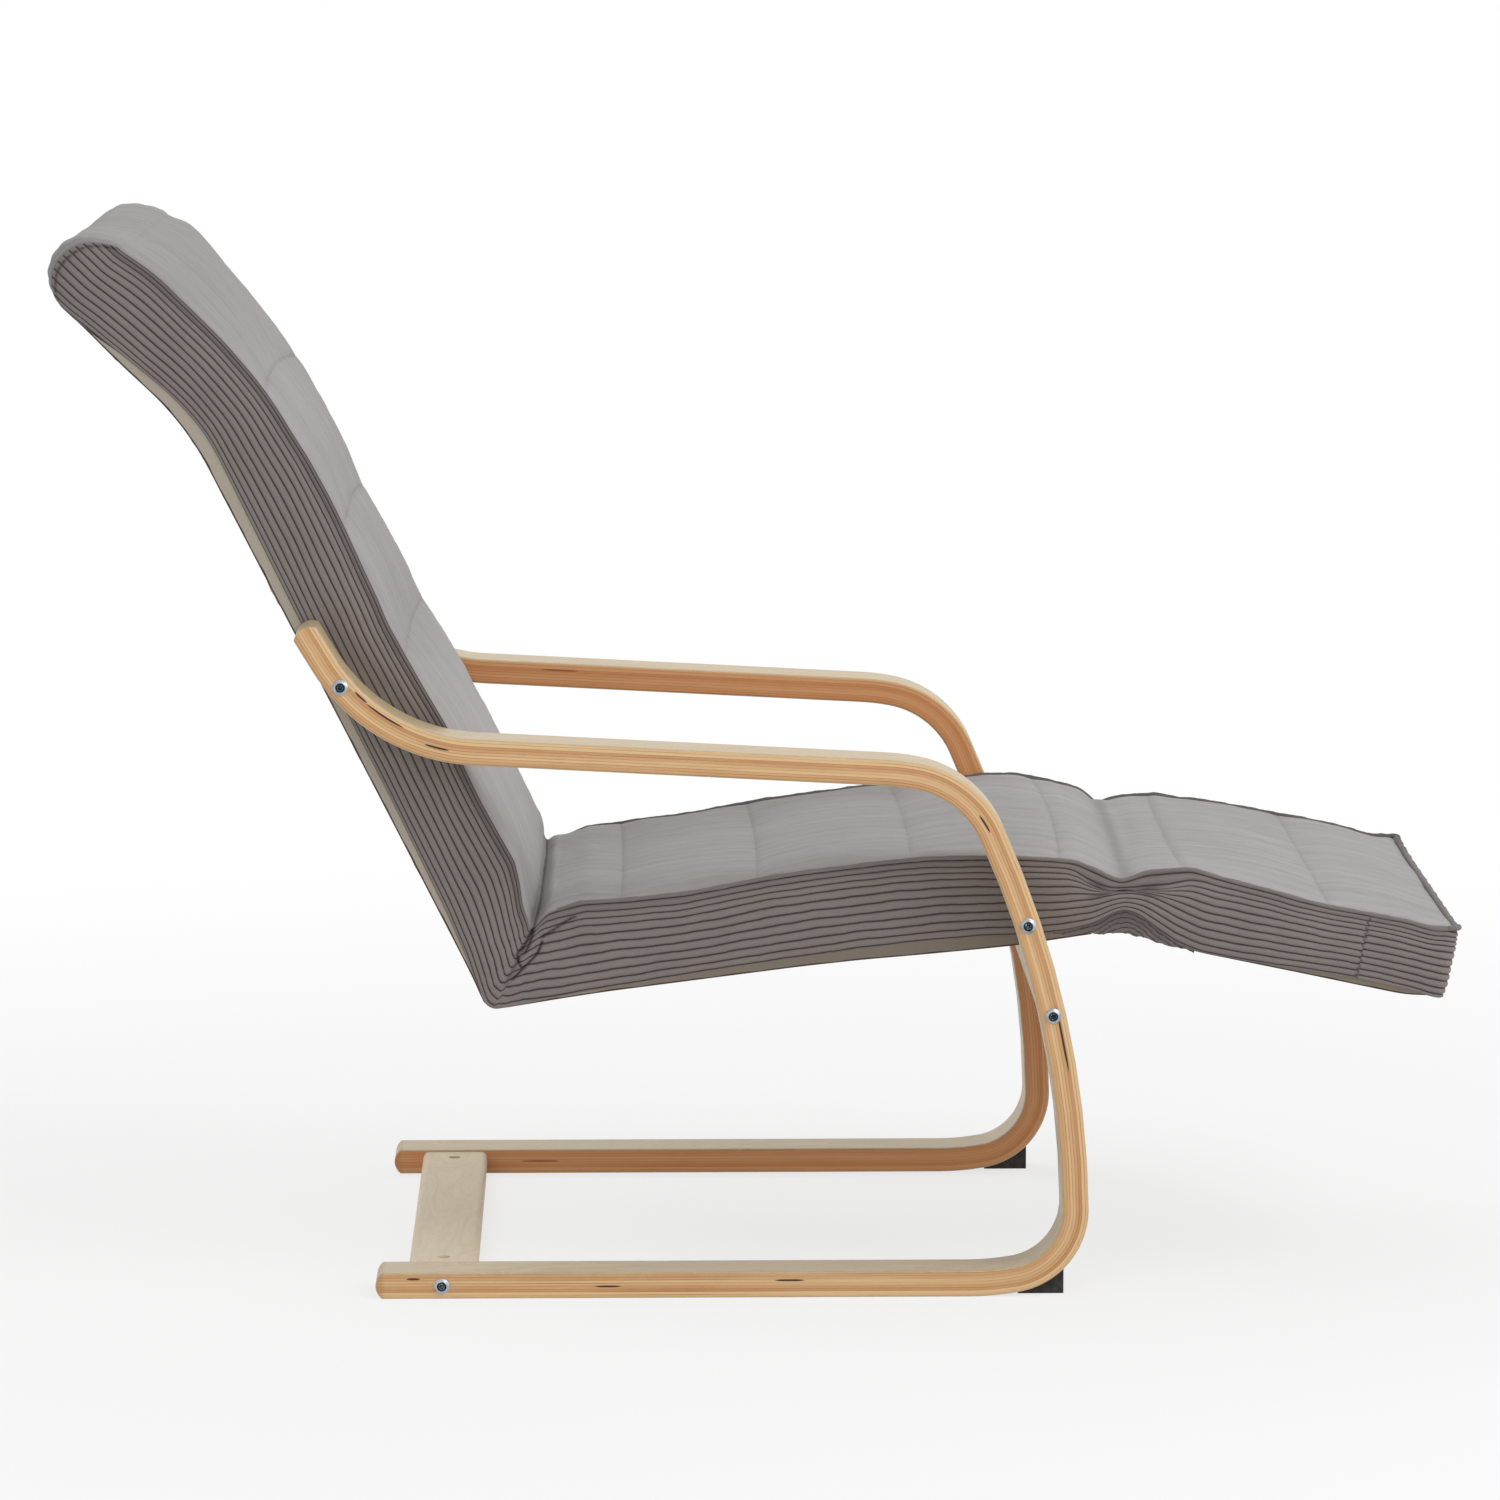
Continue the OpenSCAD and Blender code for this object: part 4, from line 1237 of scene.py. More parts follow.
    def rows_at(self, along: Grid, drop: Grid, side: float) -> tuple:
        """Finds the levels of the side cloth.

        Args:
            along: Places along the mid-line, as a column.
            drop: Shares from the seam at 0 to the hem at 1, as a row.
            side: Which side, -1 or 1.

        Returns:
            The level of each point, and its share of the plain height.
        """
        top, low = self.seam_level(along, side), self.hem.at(along)
        level = top + (low - top) * drop
        _, round_rows = self.head_round(drop * (math.pi - self.head_gap), top)
        head = 1 - ease(along, self.head_at, self.head_at + self.head_blend)
        level = level + (round_rows - level) * head
        share = np.clip((top - level) / (top - low), 0, 1)
        before = ease(self.pinch_at - along, self.pinch_before, 0)
        after = ease(along - self.pinch_at, self.pinch_after, 0)
        near = np.where(along < self.pinch_at, before, after)
        bends = zip(self.pinch_shares, self.pinch_shares[1:])
        first, second, third = (np.clip((drop - a) / (b - a), 0, 1) for a, b in bends)
        high, held = self.pinch_levels
        squeezed = top + (high - top) * first + (held - high) * second + (low - held) * third
        return level + (squeezed - level) * near, share

    def phase_at(self, along: Grid, share: Grid) -> Grid:
        """Counts the ribs down from the seam.

        Args:
            along: Places along the mid-line.
            share: Shares of the side's plain height.

        Returns:
            The rib count, whose whole numbers are the grooves.
        """
        back = 1 - ease(along, -60, 20)
        count = self.ribs.at(along) * share
        for rim, sign, (seat, more, reach) in zip((share, 1 - share), (1, -1), self.rib_rows):
            count = count + sign * ((seat + more * back) * (1 - np.exp(-rim / reach)))
        loose = 0.35 + 0.65 * ease(along, -60, 60)
        broad, fine, bunched = self.rib_stray
        stray = broad * self.wander.at(along, share * 200)
        stray = stray + fine * loose * self.sway.at(along, share * 120)
        stray = stray + bunched * bell(along, 0, 34) * self.sway.at(along * 1.7, share * 200)
        at_mitre, at_stitches = self.rib_shift
        shift = at_mitre * ease(along, -1.5, 1.5)
        shift = shift + at_stitches * ease(along - self.stitched_at, -1, 1)
        return count + stray * ease(share, 0, 0.12) + shift * ease(share, 0.05, 0.3)

    def zigzag(self, share: Grid) -> Grid:
        """Steps a stitched line from side to side, from -1 to 1."""
        return np.clip(3 * np.sin(share * 2 * math.pi * self.stitches), -1, 1)

    def rib(self, phase: Grid) -> Grid:
        """Gives the round of each rib, 0 in the grooves and 1 on the crests."""
        return 1 - np.abs(2 * (phase % 1) - 1) ** 2.6

    def relief(self, along: Grid, share: Grid, phase: Grid) -> Grid:
        """Gives how far the side cloth stands out from its flat, in millimetres.

        Args:
            along: Places along the mid-line.
            share: Shares of the side's plain height.
            phase: The rib count.

        Returns:
            The height of the ribs.
        """
        ends = ease(share, 0, 0.025) * ease(1 - share, 0, 0.02)
        puff = 0.55 + 0.45 * np.sin(np.floor(phase) * 2.4 + 1) ** 2
        deep = 1 + 0.5 * ease(along, 850, 905)
        return self.rib_depth * deep * self.rib(phase) * (0.75 + 0.25 * puff) * ends

    def corner_turn(self, order: Grid) -> Grid:
        """Tells how far the cloth has turned round the footrest's end corner, in radians."""
        return np.clip((order - self.end_at + self.end_r) / self.end_r, 0, 1)[:, None] * math.pi / 2

    def side_shadow(self, along: Grid, drop: Grid, share: Grid) -> Grid:
        """Tells how dark the side cloth is under its seam, round its pinch and in its stitches.

        Args:
            along: Places along the mid-line, as a column.
            drop: Shares from the seam at 0 to the hem at 1, as a row.
            share: Shares of the side's plain height.

        Returns:
            The darkness of each point.
        """
        back, down = 1 - ease(along, -40, 10), share * self.side_height
        dark = 0.5 * (0.35 + 0.65 * back) * (1 - ease(down, 6, 13)) * ease(down, 0, 1.5)
        dark = dark * (0.75 + 0.25 * np.cos(down * 2 * math.pi / self.stitch_pitch))
        rays = sum(deep * bell(drop, place, wide) for deep, place, wide in self.rays)
        dark = dark + 0.95 * bell(np.abs(along - self.pinch_at), 20, 10) * rays
        stitch = bell(along + 0.9 * self.zigzag(share), self.stitched_at, 0.9)
        dark = dark + 0.75 * stitch * ease(share, 0.02, 0.06)
        return dark + 0.8 * bell(along, self.pinch_at, 5.0) * bell(drop, self.pinch_place, 0.17)

    def side(self, weave: Weave, side: int) -> Patch:
        """Makes one side of the cover.

        Args:
            weave: How finely it is cut.
            side: Which side, -1 or 1.

        Returns:
            The patch, from head to foot and from seam to hem.
        """
        order = np.concatenate([weave.fan, weave.stations, weave.turn])
        along = np.clip(order, self.head_at, self.end_at - self.end_r)[:, None]
        drop = weave.drop[None, :]
        level, share = self.rows_at(along, drop, side)
        phase = self.phase_at(along, share)
        fan = np.clip((self.head_at - order) / self.head_r, 0, 1)[:, None]
        swing = drop * (math.pi - self.head_gap)
        arc, _ = self.head_round(swing, self.seam_level(self.head_at, side))
        angle = self.corner_turn(order)
        run = along - arc * fan + self.end_r * np.sin(angle) + self.shift(along, side)
        spots = self.mid.place(run, level)
        # The cloth at the head is sewn to the sitting side round the rim, in small knots.
        at_head, rim = fan > 0, arc * (1 - fan)
        head = at_head * ease(share, 0, 0.06) * ease(1 - share, 0, 0.08)
        knots = 0.5 + 0.5 * np.sin(self.knot_turn * swing)
        out = self.relief(along, share, phase) * (1 - at_head * bell(rim, 0, 1.2))
        out = out - head * (0.5 + 1.1 * knots) * bell(rim, *self.knot_row)
        # The filling pushes the cloth out where the side frame leaves it room.
        room = ease(self.strip.room(spots), *self.free_room)
        puff = np.sin(math.pi * np.clip(share, 0, 1)) ** 0.7
        puff = puff * (self.puff + self.stray_puff * self.slack.at(run, level))
        out = out + room * puff * (1 - bell(rim, 0, 9) * at_head)
        # The mitre and the pinch over the hinge draw it in.
        crease = ease(level, -8, 4) * (0.5 + 0.5 * ease(level, 26, 36))
        tucked = self.tucked(spots)
        pinch = bell(along, self.pinch_at, 7.0) * bell(drop, self.pinch_place, 0.2)
        out = out - self.crease_depth * (bell(along, 0, self.mitre_width) * crease + 0.5 * tucked)
        out = out - self.pinch_depth * pinch
        out = out + 0.8 * bell(along, self.pinch_at, 42) * ease(0.16 - drop, 0, 0.12) * room
        x = (self.half_width - self.end_r * (1 - np.cos(angle)) + out * np.cos(angle)) * side
        points = np.stack([np.broadcast_to(x, level.shape), run + out * np.sin(angle), level], -1)
        # Painted shade: the shade under the seam and round the pinch, and darker cloth in the mitre's
        # crease, in the tucks and in the knots at the head.
        dark = self.side_shadow(along, drop, share) + 0.85 * bell(along, 0, 1.8) * crease
        dark = dark + 0.95 * tucked + head * (0.35 + 0.5 * knots) * bell(rim, 4.8, 1.4)
        cloth = np.stack([np.broadcast_to(run * MM, level.shape), phase], -1)
        return Patch(order, weave.drop, points, cloth, np.clip(dark, 0, 1), Face.RIBBED, side > 0)

    def top_level(self, along: Grid, across: Grid) -> Grid:
        """Gives the level of the sitting side.

        Args:
            along: Places along the mid-line, as a column.
            across: Shares of the half width, from -1 to 1, as a row.

        Returns:
            The level of each point.
        """
        inward = (1 - np.abs(across)) * self.half_width
        level = self.seam_level(along, across)
        level = level + self.shoulder * (1 - np.exp(-inward / self.shoulder_width))
        level = level + (self.crown.at(along) - self.shoulder) * (1 - np.abs(across) ** 2.6)
        held = 1 - np.exp(-inward / self.held_width)
        for channel in self.channels:
            level = level - sum(deep * bell(along, channel, wide) for deep, wide in self.channel_dips) * held
        wrinkle = 0.7 * self.slack.at(along * 0.6, across * 190)
        level = level + (wrinkle + 0.35 * self.sway.at(along, across * 120)) * held
        edge_dip, edge_width = self.hinge_edge
        over_hinge = self.hinge_cover - edge_dip * np.exp(-inward / edge_width)
        return level + np.clip(over_hinge - level, 0, None) * bell(along, self.valley_at, self.valley_width)

    def wrap(self, across: Grid, drop: Grid) -> Grid:
        """Rolls the sitting side's cloth over the head, from its top to the hem behind it.

        Args:
            across: Shares of the half width, from -1 to 1, as a row.
            drop: Shares of the roll, from the top at 0 to the hem at 1, as a column.

        Returns:
            Places across, along and above the mid-line, as the last axis.
        """
        swing = drop * (math.pi - self.head_gap)
        over = self.top_level(np.array([[self.head_at]]), across) - self.head_up - self.head_r
        inward = (1 - np.abs(across)) * self.half_width
        pucker = self.pucker * self.sway.at(across * self.ripple_width * 1.3, swing * 30) * np.sin(swing)
        gathers = self.gather_depth * np.abs(np.sin(swing * self.gather_turn))
        gathers = gathers * np.exp(-inward / 34) * np.sin(swing)
        round_fill, middle_fill = self.head_fill
        fill = round_fill * bell(swing, 1.6, 0.8) + middle_fill * bell(swing, 1.1, 0.6) * (1 - across**2)
        reach = self.head_r + over * (0.5 + 0.5 * np.cos(swing))
        reach = reach + (pucker + gathers + fill) * (1 - np.exp(-inward / 4))
        run = self.head_at - reach * np.sin(swing) + self.short(swing) + self.shift(self.head_at, across)
        level = self.head_up + reach * np.cos(swing)
        return np.stack(np.broadcast_arrays(self.half_width * across, run, level), -1)

    def top(self, weave: Weave) -> Patch:
        """Makes the sitting side, wrapped round the head.

        Args:
            weave: How finely it is cut.

        Returns:
            The patch, from the hem behind the head to the foot end.
        """
        across, drop = weave.across[None, :], weave.drop[:0:-1][:, None]
        stations = np.concatenate([weave.stations, weave.turn])
        along = np.clip(stations, self.head_at, self.end_at - self.end_r)[:, None]
        angle = self.corner_turn(stations)
        run = along + self.end_r * np.sin(angle) + self.shift(along, across)
        wide = self.half_width - self.end_r * (1 - np.cos(angle))
        level = self.top_level(along, across)
        level = level - self.end_dip * ease(np.sin(angle), 0, 1) * (1 - np.abs(across) ** 8)
        flat = np.stack(np.broadcast_arrays(wide * across, run, level), -1)
        points = np.concatenate([self.wrap(across, drop), flat])
        order = np.concatenate([self.head_at - drop[:, 0] * self.wrap_reach, stations])
        # Painted shade in the creases at the mitre and over the hinge, along the stitched channels, and at
        # the seam edge.
        crease = 0.75 * bell(along, 0, 3) + 0.22 * bell(along, 0, 14) + 0.35 * bell(along, self.crease_at, 6)
        stitched = sum(bell(along, channel, 1.5) for channel in self.channels)
        dark = np.clip(crease + 0.16 * stitched, 0, 1) + 0 * across
        edge = 0.25 * np.exp(-(1 - np.abs(across)) * self.half_width / 1.5)
        dark = np.concatenate([np.zeros((len(drop), across.shape[1])), dark]) + edge
        cloth = np.stack([points[..., 1], points[..., 0]], -1) * MM
        return Patch(order, weave.across, points, cloth, np.clip(dark, 0, 1), Face.PANEL)

    def foot_end(self, weave: Weave) -> Patch:
        """Makes the end of the footrest part.

        Args:
            weave: How finely it is cut.

        Returns:
            The patch, between the two rounded corners.
        """
        across, drop = weave.across[:, None], weave.drop[None, :]
        along = np.array([[self.end_at - self.end_r]])
        top = self.top_level(along, across) - self.end_dip * (1 - np.abs(across) ** 8)
        _, share = self.rows_at(along, drop, -1)
        level = top + (self.hem.at(along) - top) * drop
        phase = self.phase_at(along, share) + 0 * across
        puff = np.sin(math.pi * drop) ** 0.7 * (1 - np.abs(across) ** 6)
        slack = self.slack.at(across * self.ripple_width + 900, level)
        out = self.relief(along, share, phase) + puff * (self.foot_puff + slack)
        x = (self.half_width - self.end_r) * across + 0 * level
        points = np.stack(np.broadcast_arrays(x, self.end_at + out, level), -1)
        cloth = np.stack([1.2 + x * MM, phase + 0 * x], -1)
        # Painted shade in a band just under the seam.
        down = share * self.foot_height
        dark = 0.25 * (1 - ease(down, 3, 8)) * ease(down, 0, 1.5) + 0 * x
        return Patch(weave.across, weave.drop, points, cloth, dark, Face.RIBBED)

    def cavity(self, weave: Weave) -> Patch:
        """Makes the hollow underside that the frame sits in.

        Args:
            weave: How finely it is cut.

        Returns:
            The patch, from hem to hem.
        """
        order = np.concatenate([weave.fan, weave.stations])
        order = order[order <= self.cavity_end + 0.01]
        along = np.clip(order, self.head_at, None)[:, None]
        level, _ = self.rows_at(along, np.array([[1.0]]), -1)
        fan = np.clip((self.head_at - order) / self.head_r, 0, 1)[:, None]
        arc, _ = self.head_round(math.pi - self.head_gap, self.seam_level(self.head_at, -1))
        roof = np.minimum(self.ceiling.at(along), self.top_level(along, np.array([[0.0]])) - self.roof_gap)
        count, climb = len(weave.across), (0.35, 0.7, 1.0)
        rise = np.ones(count)
        rise[:5], rise[-5:] = (0, 0, *climb), (*climb[::-1], 0, 0)
        x = np.empty(count)
        x[0], x[1:5] = -self.half_width, -self.skirt_in
        x[-1], x[-5:-1] = self.half_width, self.skirt_in
        x[4:-4] = np.linspace(-self.skirt_in, self.skirt_in, count - 8)
        height = level + (roof - level) * rise[None, :]
        run = along - arc * fan + self.slide(along, x[None, :] / self.half_width)
        points = np.stack(np.broadcast_arrays(x[None, :], run, height), -1)
        return self.hidden(order, weave, points, 1)

    def hidden(self, rows: Grid, weave: Weave, points: Grid, axis: int) -> Patch:
        """Makes a patch of the hollow, where the ribbed cloth is seen from behind.

        Args:
            rows: The patch's first axis.
            weave: How finely it is cut.
            points: Its places across, along and above the mid-line.
            axis: Which of these the ribs run along, 1 in the hollow and 0 at its end.

        Returns:
            The patch, which faces inward.
        """
        cloth = np.stack([points[..., axis] * MM, points[..., 0 if axis else 2] * 0.12], -1)
        # Painted shade all over the hollow.
        dark = np.full(points.shape[:2], 0.35)
        return Patch(rows, weave.across, points, cloth, dark, Face.RIBBED, False)

    def foot_wall(self, hollow: Patch, weave: Weave) -> Patch:
        """Makes the inner face behind the footrest end.

        Args:
            hollow: The underside, whose last row the wall goes down from.
            weave: How finely it is cut.

        Returns:
            The patch.
        """
        last = hollow.spots[-1]
        low = last.copy()
        low[:, 2] = last[0, 2]
        return self.hidden(np.array([0.0, 1.0]), weave, np.stack([last, low]), 0)

    def weave(self, fine: bool) -> Weave:
        """Cuts the axes of all grids.

        Args:
            fine: True for the final mesh, False for the cloth simulation.

        Returns:
            The axes.
        """
        edge_in = np.array([0, 1.4, 3.2, 5.6, 9, 14]) if fine else np.array([0, 12.0])
        count, rows, step = (64, 92, 5.5) if fine else (24, 9, 20.0)
        shares = edge_in / self.half_width
        inner = np.linspace(-1 + shares[-1] * 1.5, 1 - shares[-1] * 1.5, count)
        across = np.concatenate([shares - 1, inner, 1 - shares[::-1]])
        last = self.end_at - self.end_r
        spots = [*np.arange(self.head_at, last - step * 0.6, step), last, self.cavity_end]
        if fine:
            for middle, reach, cut in ((0, 30, 1.5), (self.crease_at, 45, 2.5), (self.stitched_at, 4, 1.0)):
                spots += list(np.arange(middle - reach, middle + reach + 0.1, cut))
            spots += [channel + off for channel in self.channels for off in (-7, -4, -1.8, 0, 1.8, 4, 7)]
        else:
            spots += [0.0, *self.channels]
        stations = np.unique(np.round(spots, 2))
        keep = np.concatenate([[True], np.diff(stations) > (0.9 if fine else 7.0)])
        keep |= np.isin(stations, np.round([self.cavity_end, last], 2))
        fan_shares = (1, 0.985, 0.965, 0.94, 0.91, 0.88, 0.85, 0.8, 0.7, 0.56, 0.42, 0.28, 0.14)
        fan = self.head_at - self.head_r * np.array(fan_shares if fine else (1, 0.5))
        turn = last + self.end_r * np.linspace(0, 1, 8 if fine else 3)[1:]
        return Weave(stations[keep], across, np.linspace(0, 1, rows + 1), fan, turn)

    def patches(self, weave: Weave) -> list[Patch]:
        """Makes every grid of the cover.

        Args:
            weave: How finely they are cut.

        Returns:
            The sitting side, the near and far sides, the foot end, the hollow and its end.
        """
        hollow = self.cavity(weave)
        return [
            self.top(weave), self.side(weave, -1), self.side(weave, 1), self.foot_end(weave),
            hollow, self.foot_wall(hollow, weave),
        ]

    def world(self, patch: Patch) -> Grid:
        """Places a patch's points in the shared frame."""
        return self.mid.world(patch.spots[..., 0], patch.spots[..., 1], patch.spots[..., 2])

    def sew(self, name: str, patches: list[Patch], moves: list[Grid | None]) -> tuple:
        """Welds the patches into one closed mesh.

        Args:
            name: The piece's name.
            patches: The grids.
            moves: A move for each point of each grid, or None.

        Returns:
            The object, and for each patch the numbers of its welded points.
        """
        points, quads, cloths, folds, looks, base = [], [], [], [], [], 0
        for patch, move in zip(patches, moves):
            spots = self.world(patch) + (0 if move is None else move)
            rows, columns = spots.shape[:2]
            index = np.arange(rows * columns).reshape(rows, columns) + base
            quads.append(grid_faces(index)[:, :: -1 if patch.outward else 1])
            points.append(spots.reshape(-1, 3))
            cloths.append(patch.cloth.reshape(-1, 2))
            folds.append(patch.folds.reshape(-1))
            looks.append(np.full(len(quads[-1]), patch.face.value))
            base += rows * columns
        points, quads, cloth, fold, look = map(np.concatenate, (points, quads, cloths, folds, looks))
        cells = np.round(points / self.weld)
        _, first, same = np.unique(cells, axis=0, return_index=True, return_inverse=True)
        same = same.reshape(-1)
        mesh = bpy.data.meshes.new(name)
        build = bmesh.new()
        layer = build.loops.layers.uv.new("cloth")
        # The stored darkness of each point: painted shade in creases and hollows, and dark seam lines.
        depth = build.verts.layers.float.new("folds")
        verts = [build.verts.new(points[i]) for i in first]
        for number, vert in zip(first, verts):
            vert[depth] = fold[number]
        made = set()
        for quad, face_look in zip(quads, look):
            corners = []
            for corner in quad:
                if same[corner] not in [same[c] for c in corners]:
                    corners.append(corner)
            key = frozenset(same[c] for c in corners)
            if len(corners) < 3 or key in made:
                continue
            made.add(key)
            face = build.faces.new([verts[same[c]] for c in corners])
            face.material_index = int(face_look)
            face.smooth = True
            for loop, corner in zip(face.loops, corners):
                loop[layer].uv = cloth[corner]
        rims = [edge for edge in build.edges if len(edge.link_faces) == 1]
        filled = bmesh.ops.holes_fill(build, edges=rims, sides=0)["faces"]
        for face in filled:
            face.material_index = Face.RIBBED.value
        bmesh.ops.triangulate(build, faces=filled)
        bmesh.ops.recalc_face_normals(build, faces=build.faces)
        build.to_mesh(mesh)
        build.free()
        piece = put_object(name, mesh)
        numbers, at = [], 0
        for patch in patches:
            size = patch.spots.shape[0] * patch.spots.shape[1]
            numbers.append(same[at : at + size].reshape(patch.spots.shape[:2]))
            at += size
        return piece, numbers

    def swell(self) -> tuple[list[Patch], list[Grid]]:
        """Blows a coarse shell of the cover up softly, held at its seams, channels and frame.

        Returns:
            The grids of the coarse shell, and how far the points of each moved, in metres.
        """
        patches = self.patches(self.weave(False))
        shell, numbers = self.sew("cover_shell", patches, [None] * len(patches))
        top, hollow, wall = numbers[0], numbers[4], numbers[5]
        held = set(hollow.reshape(-1)) | set(wall.reshape(-1)) | set(top[0]) | set(top[-1])
        for grid in numbers[:4]:
            held |= set(grid[:, 0]) | set(grid[:, -1])
        for channel in (*self.channels, 0.0, self.pinch_at):
            held |= set(top[int(np.argmin(np.abs(patches[0].rows - channel)))])
        shell.vertex_groups.new(name="held").add([int(number) for number in held], 1.0, "REPLACE")
        cloth = shell.modifiers.new("cloth", "CLOTH")
        settings = {
            "quality": 5, "mass": 0.3, "tension_stiffness": 18, "compression_stiffness": 18,
            "bending_stiffness": 1.5, "use_pressure": True, "uniform_pressure_force": self.pressure,
            "vertex_group_mass": "held",
        }
        for name, value in settings.items():
            setattr(cloth.settings, name, value)
        cloth.settings.effector_weights.gravity = 0
        cloth.collision_settings.use_collision = False
        cloth.point_cache.frame_start, cloth.point_cache.frame_end = 1, self.frames
        before = points_of(shell.data)
        for number in range(1, self.frames + 1):
            bpy.context.scene.frame_set(number)
        ready = shell.evaluated_get(bpy.context.evaluated_depsgraph_get()).data
        moved = points_of(ready) - before
        size = np.linalg.norm(moved, axis=1, keepdims=True)
        moved = moved * np.minimum(1, self.most_swell * MM / np.maximum(size, 1e-9))
        LOG.info("cover swells %.1f mm at most, %.1f mm in the mean", size.max() / MM, size.mean() / MM)
        bpy.context.scene.frame_set(1)
        bpy.data.objects.remove(shell)
        return patches, [moved[grid] for grid in numbers]

    def moves(self, patches: list[Patch]) -> list[Grid | None]:
        """Carries the swelling over to the fine grids.

        Args:
            patches: The fine grids.

        Returns:
            A move for each point of each grid, in metres, or None.
        """
        shell, moved = self.swell()
        made = [
            coarse.spread(move, patch.rows, patch.columns)
            for coarse, move, patch in zip(shell[:4], moved, patches)
        ]
        for move, patch in zip(made[1:3], patches[1:3]):
            spots = self.world(patch)
            side = self.mid.place(patch.spots[..., 1], patch.spots[..., 2])
            least, more = self.side_swell
            most = (self.half_width + least + more * ease(self.strip.room(side), 2, 30)) * MM
            wide = np.abs(spots[..., 0] + move[..., 0])
            over = np.clip(wide - np.maximum(most, np.abs(spots[..., 0])), 0, None)
            move[..., 0] -= np.sign(spots[..., 0]) * over
        return [*made, None, None]

    def make(self) -> Object:
        """Builds the finished cover.

        Returns:
            The object.
        """
        patches = self.patches(self.weave(True))
        piece, _ = self.sew("long_ribbed_cover", patches, self.moves(patches))
        for material in self.finishes:
            piece.data.materials.append(material)
        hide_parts("back_cushion", "seat_cushion", "footrest_cushion")
        bend(piece)
        return piece


LINING_THICK = 0.0008


def bend(piece: Object) -> None:
    """Bakes a piece of cloth's place into its mesh."""
    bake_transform(piece)


def cloth_piece(
    name: str, spots: Grid, faces: list, cloth: Grid, folds: Grid,
    finish: Material,
) -> Object:
    """Makes a piece of cloth.

    Args:
        name: The piece's name.
        spots: Its points in metres.
        faces: The point numbers of each face.
        cloth: Cloth coordinates of each point.
        folds: How dark each point is painted: shade in creases, hollows and under seams, and dark seam
            lines.
        finish: Its material.

    Returns:
        The object.
    """
    mesh = bpy.data.meshes.new(name)
    mesh.from_pydata(spots.reshape(-1, 3).tolist(), [], faces)
    put_map(mesh, "cloth", cloth)
    put_number(mesh, "folds", folds)
    mesh.materials.append(finish)
    mesh.shade_smooth()
    return put_object(name, mesh)


def lay_cloth(
    name: str, spots: Grid, cloth: Grid, folds: Grid, finish: Material
) -> Object:
    """Makes a thin piece of cloth from one grid.

    Args:
        name: The piece's name.
        spots: Points in metres.
        cloth: Cloth coordinates of each point.
        folds: How dark each point is painted: shade in creases, hollows and under seams, and dark seam
            lines.
        finish: Its material.

    Returns:
        The object.
    """
    rows, columns = spots.shape[:2]
    faces = grid_faces(np.arange(rows * columns).reshape(rows, columns)).tolist()
    piece = cloth_piece(name, spots, faces, cloth, folds, finish)
    layer = piece.modifiers.new("thickness", "SOLIDIFY")
    layer.thickness, layer.offset = LINING_THICK, 0.0
    return piece


@dataclass
class Lining:
    """One stretched lining, from hem to hem under the frame."""

    name: str
    node: str
    body: Body
    finish: Material
    cover: LongCover
    first: float
    last: float
    low: Profile
    flat: tuple[float, float]
    wrinkle: float = 1.6
    seed: int = 31
    row_step: float = 7.0
    half_width: float = 275.0
    edge: tuple[float, ...] = (275.3, 275.6, 275.5, 275.4, 274.2, 271.5)
    columns: int = 57
    edge_width: float = 9.0
    tuck_in: float = 5.0
    rim_line_mark: float = 0.9

    def make(self) -> Object:
        """Builds the lining.

        Returns:
            The object.
        """
        count = int((self.last - self.first) / self.row_step)
        along = np.linspace(self.first, self.last, count)[:, None]
        hem, low = self.cover.hem.at(along), self.low.at(along)
        inner = np.linspace(-1, 1, self.columns + 4)[None, 2:-2]
        dip = np.exp(-(1 - np.abs(inner)) * self.half_width / self.edge_width)
        long, short = Ripple(self.seed, 150.0), Ripple(self.seed + 1, 37.0)
        creases = long.at(along, inner * 300) + 0.55 * short.at(along * 0.5, inner * 420)
        held = ease(1 - np.abs(inner), 0.0, 0.12)
        middle = low - 0.4 * held + self.wrinkle * creases * (0.15 + 0.85 * held) - 0.6 + 1.2 * dip
        # The rim goes down from inside the cover's hem, past its dark line, to the flat.
        wave = 0.4 * short.at(along * 0.6)
        rim = [hem + self.tuck_in, np.maximum(hem, low + 3.6) + wave, low + 1.8 + wave, low + 1.3 + wave]
        rim += [low + 0.2, low]
        level = np.concatenate([*rim, middle, *rim[::-1]], 1)
        x = np.concatenate([-np.array(self.edge), inner[0] * self.half_width, self.edge[::-1]])[None, :]
        run = along + self.cover.slide(along, x / self.cover.half_width)
        spots = self.cover.mid.world(x + 0 * level, run + 0 * level, level)
        cloth = np.stack(np.broadcast_arrays(along * MM, x * MM), -1)
        # Painted shade under the seat and the footrest; the rim's dark line goes on the turned-under
        # columns.
        folds = 0.3 * ease(along, 30, 120) + 0 * level
        folds[:, [3, 4, -5, -4]] = self.rim_line_mark
        piece = lay_cloth(self.name, spots, cloth, folds, self.finish)
        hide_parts(self.node)
        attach(piece, self.body.value)
        return piece


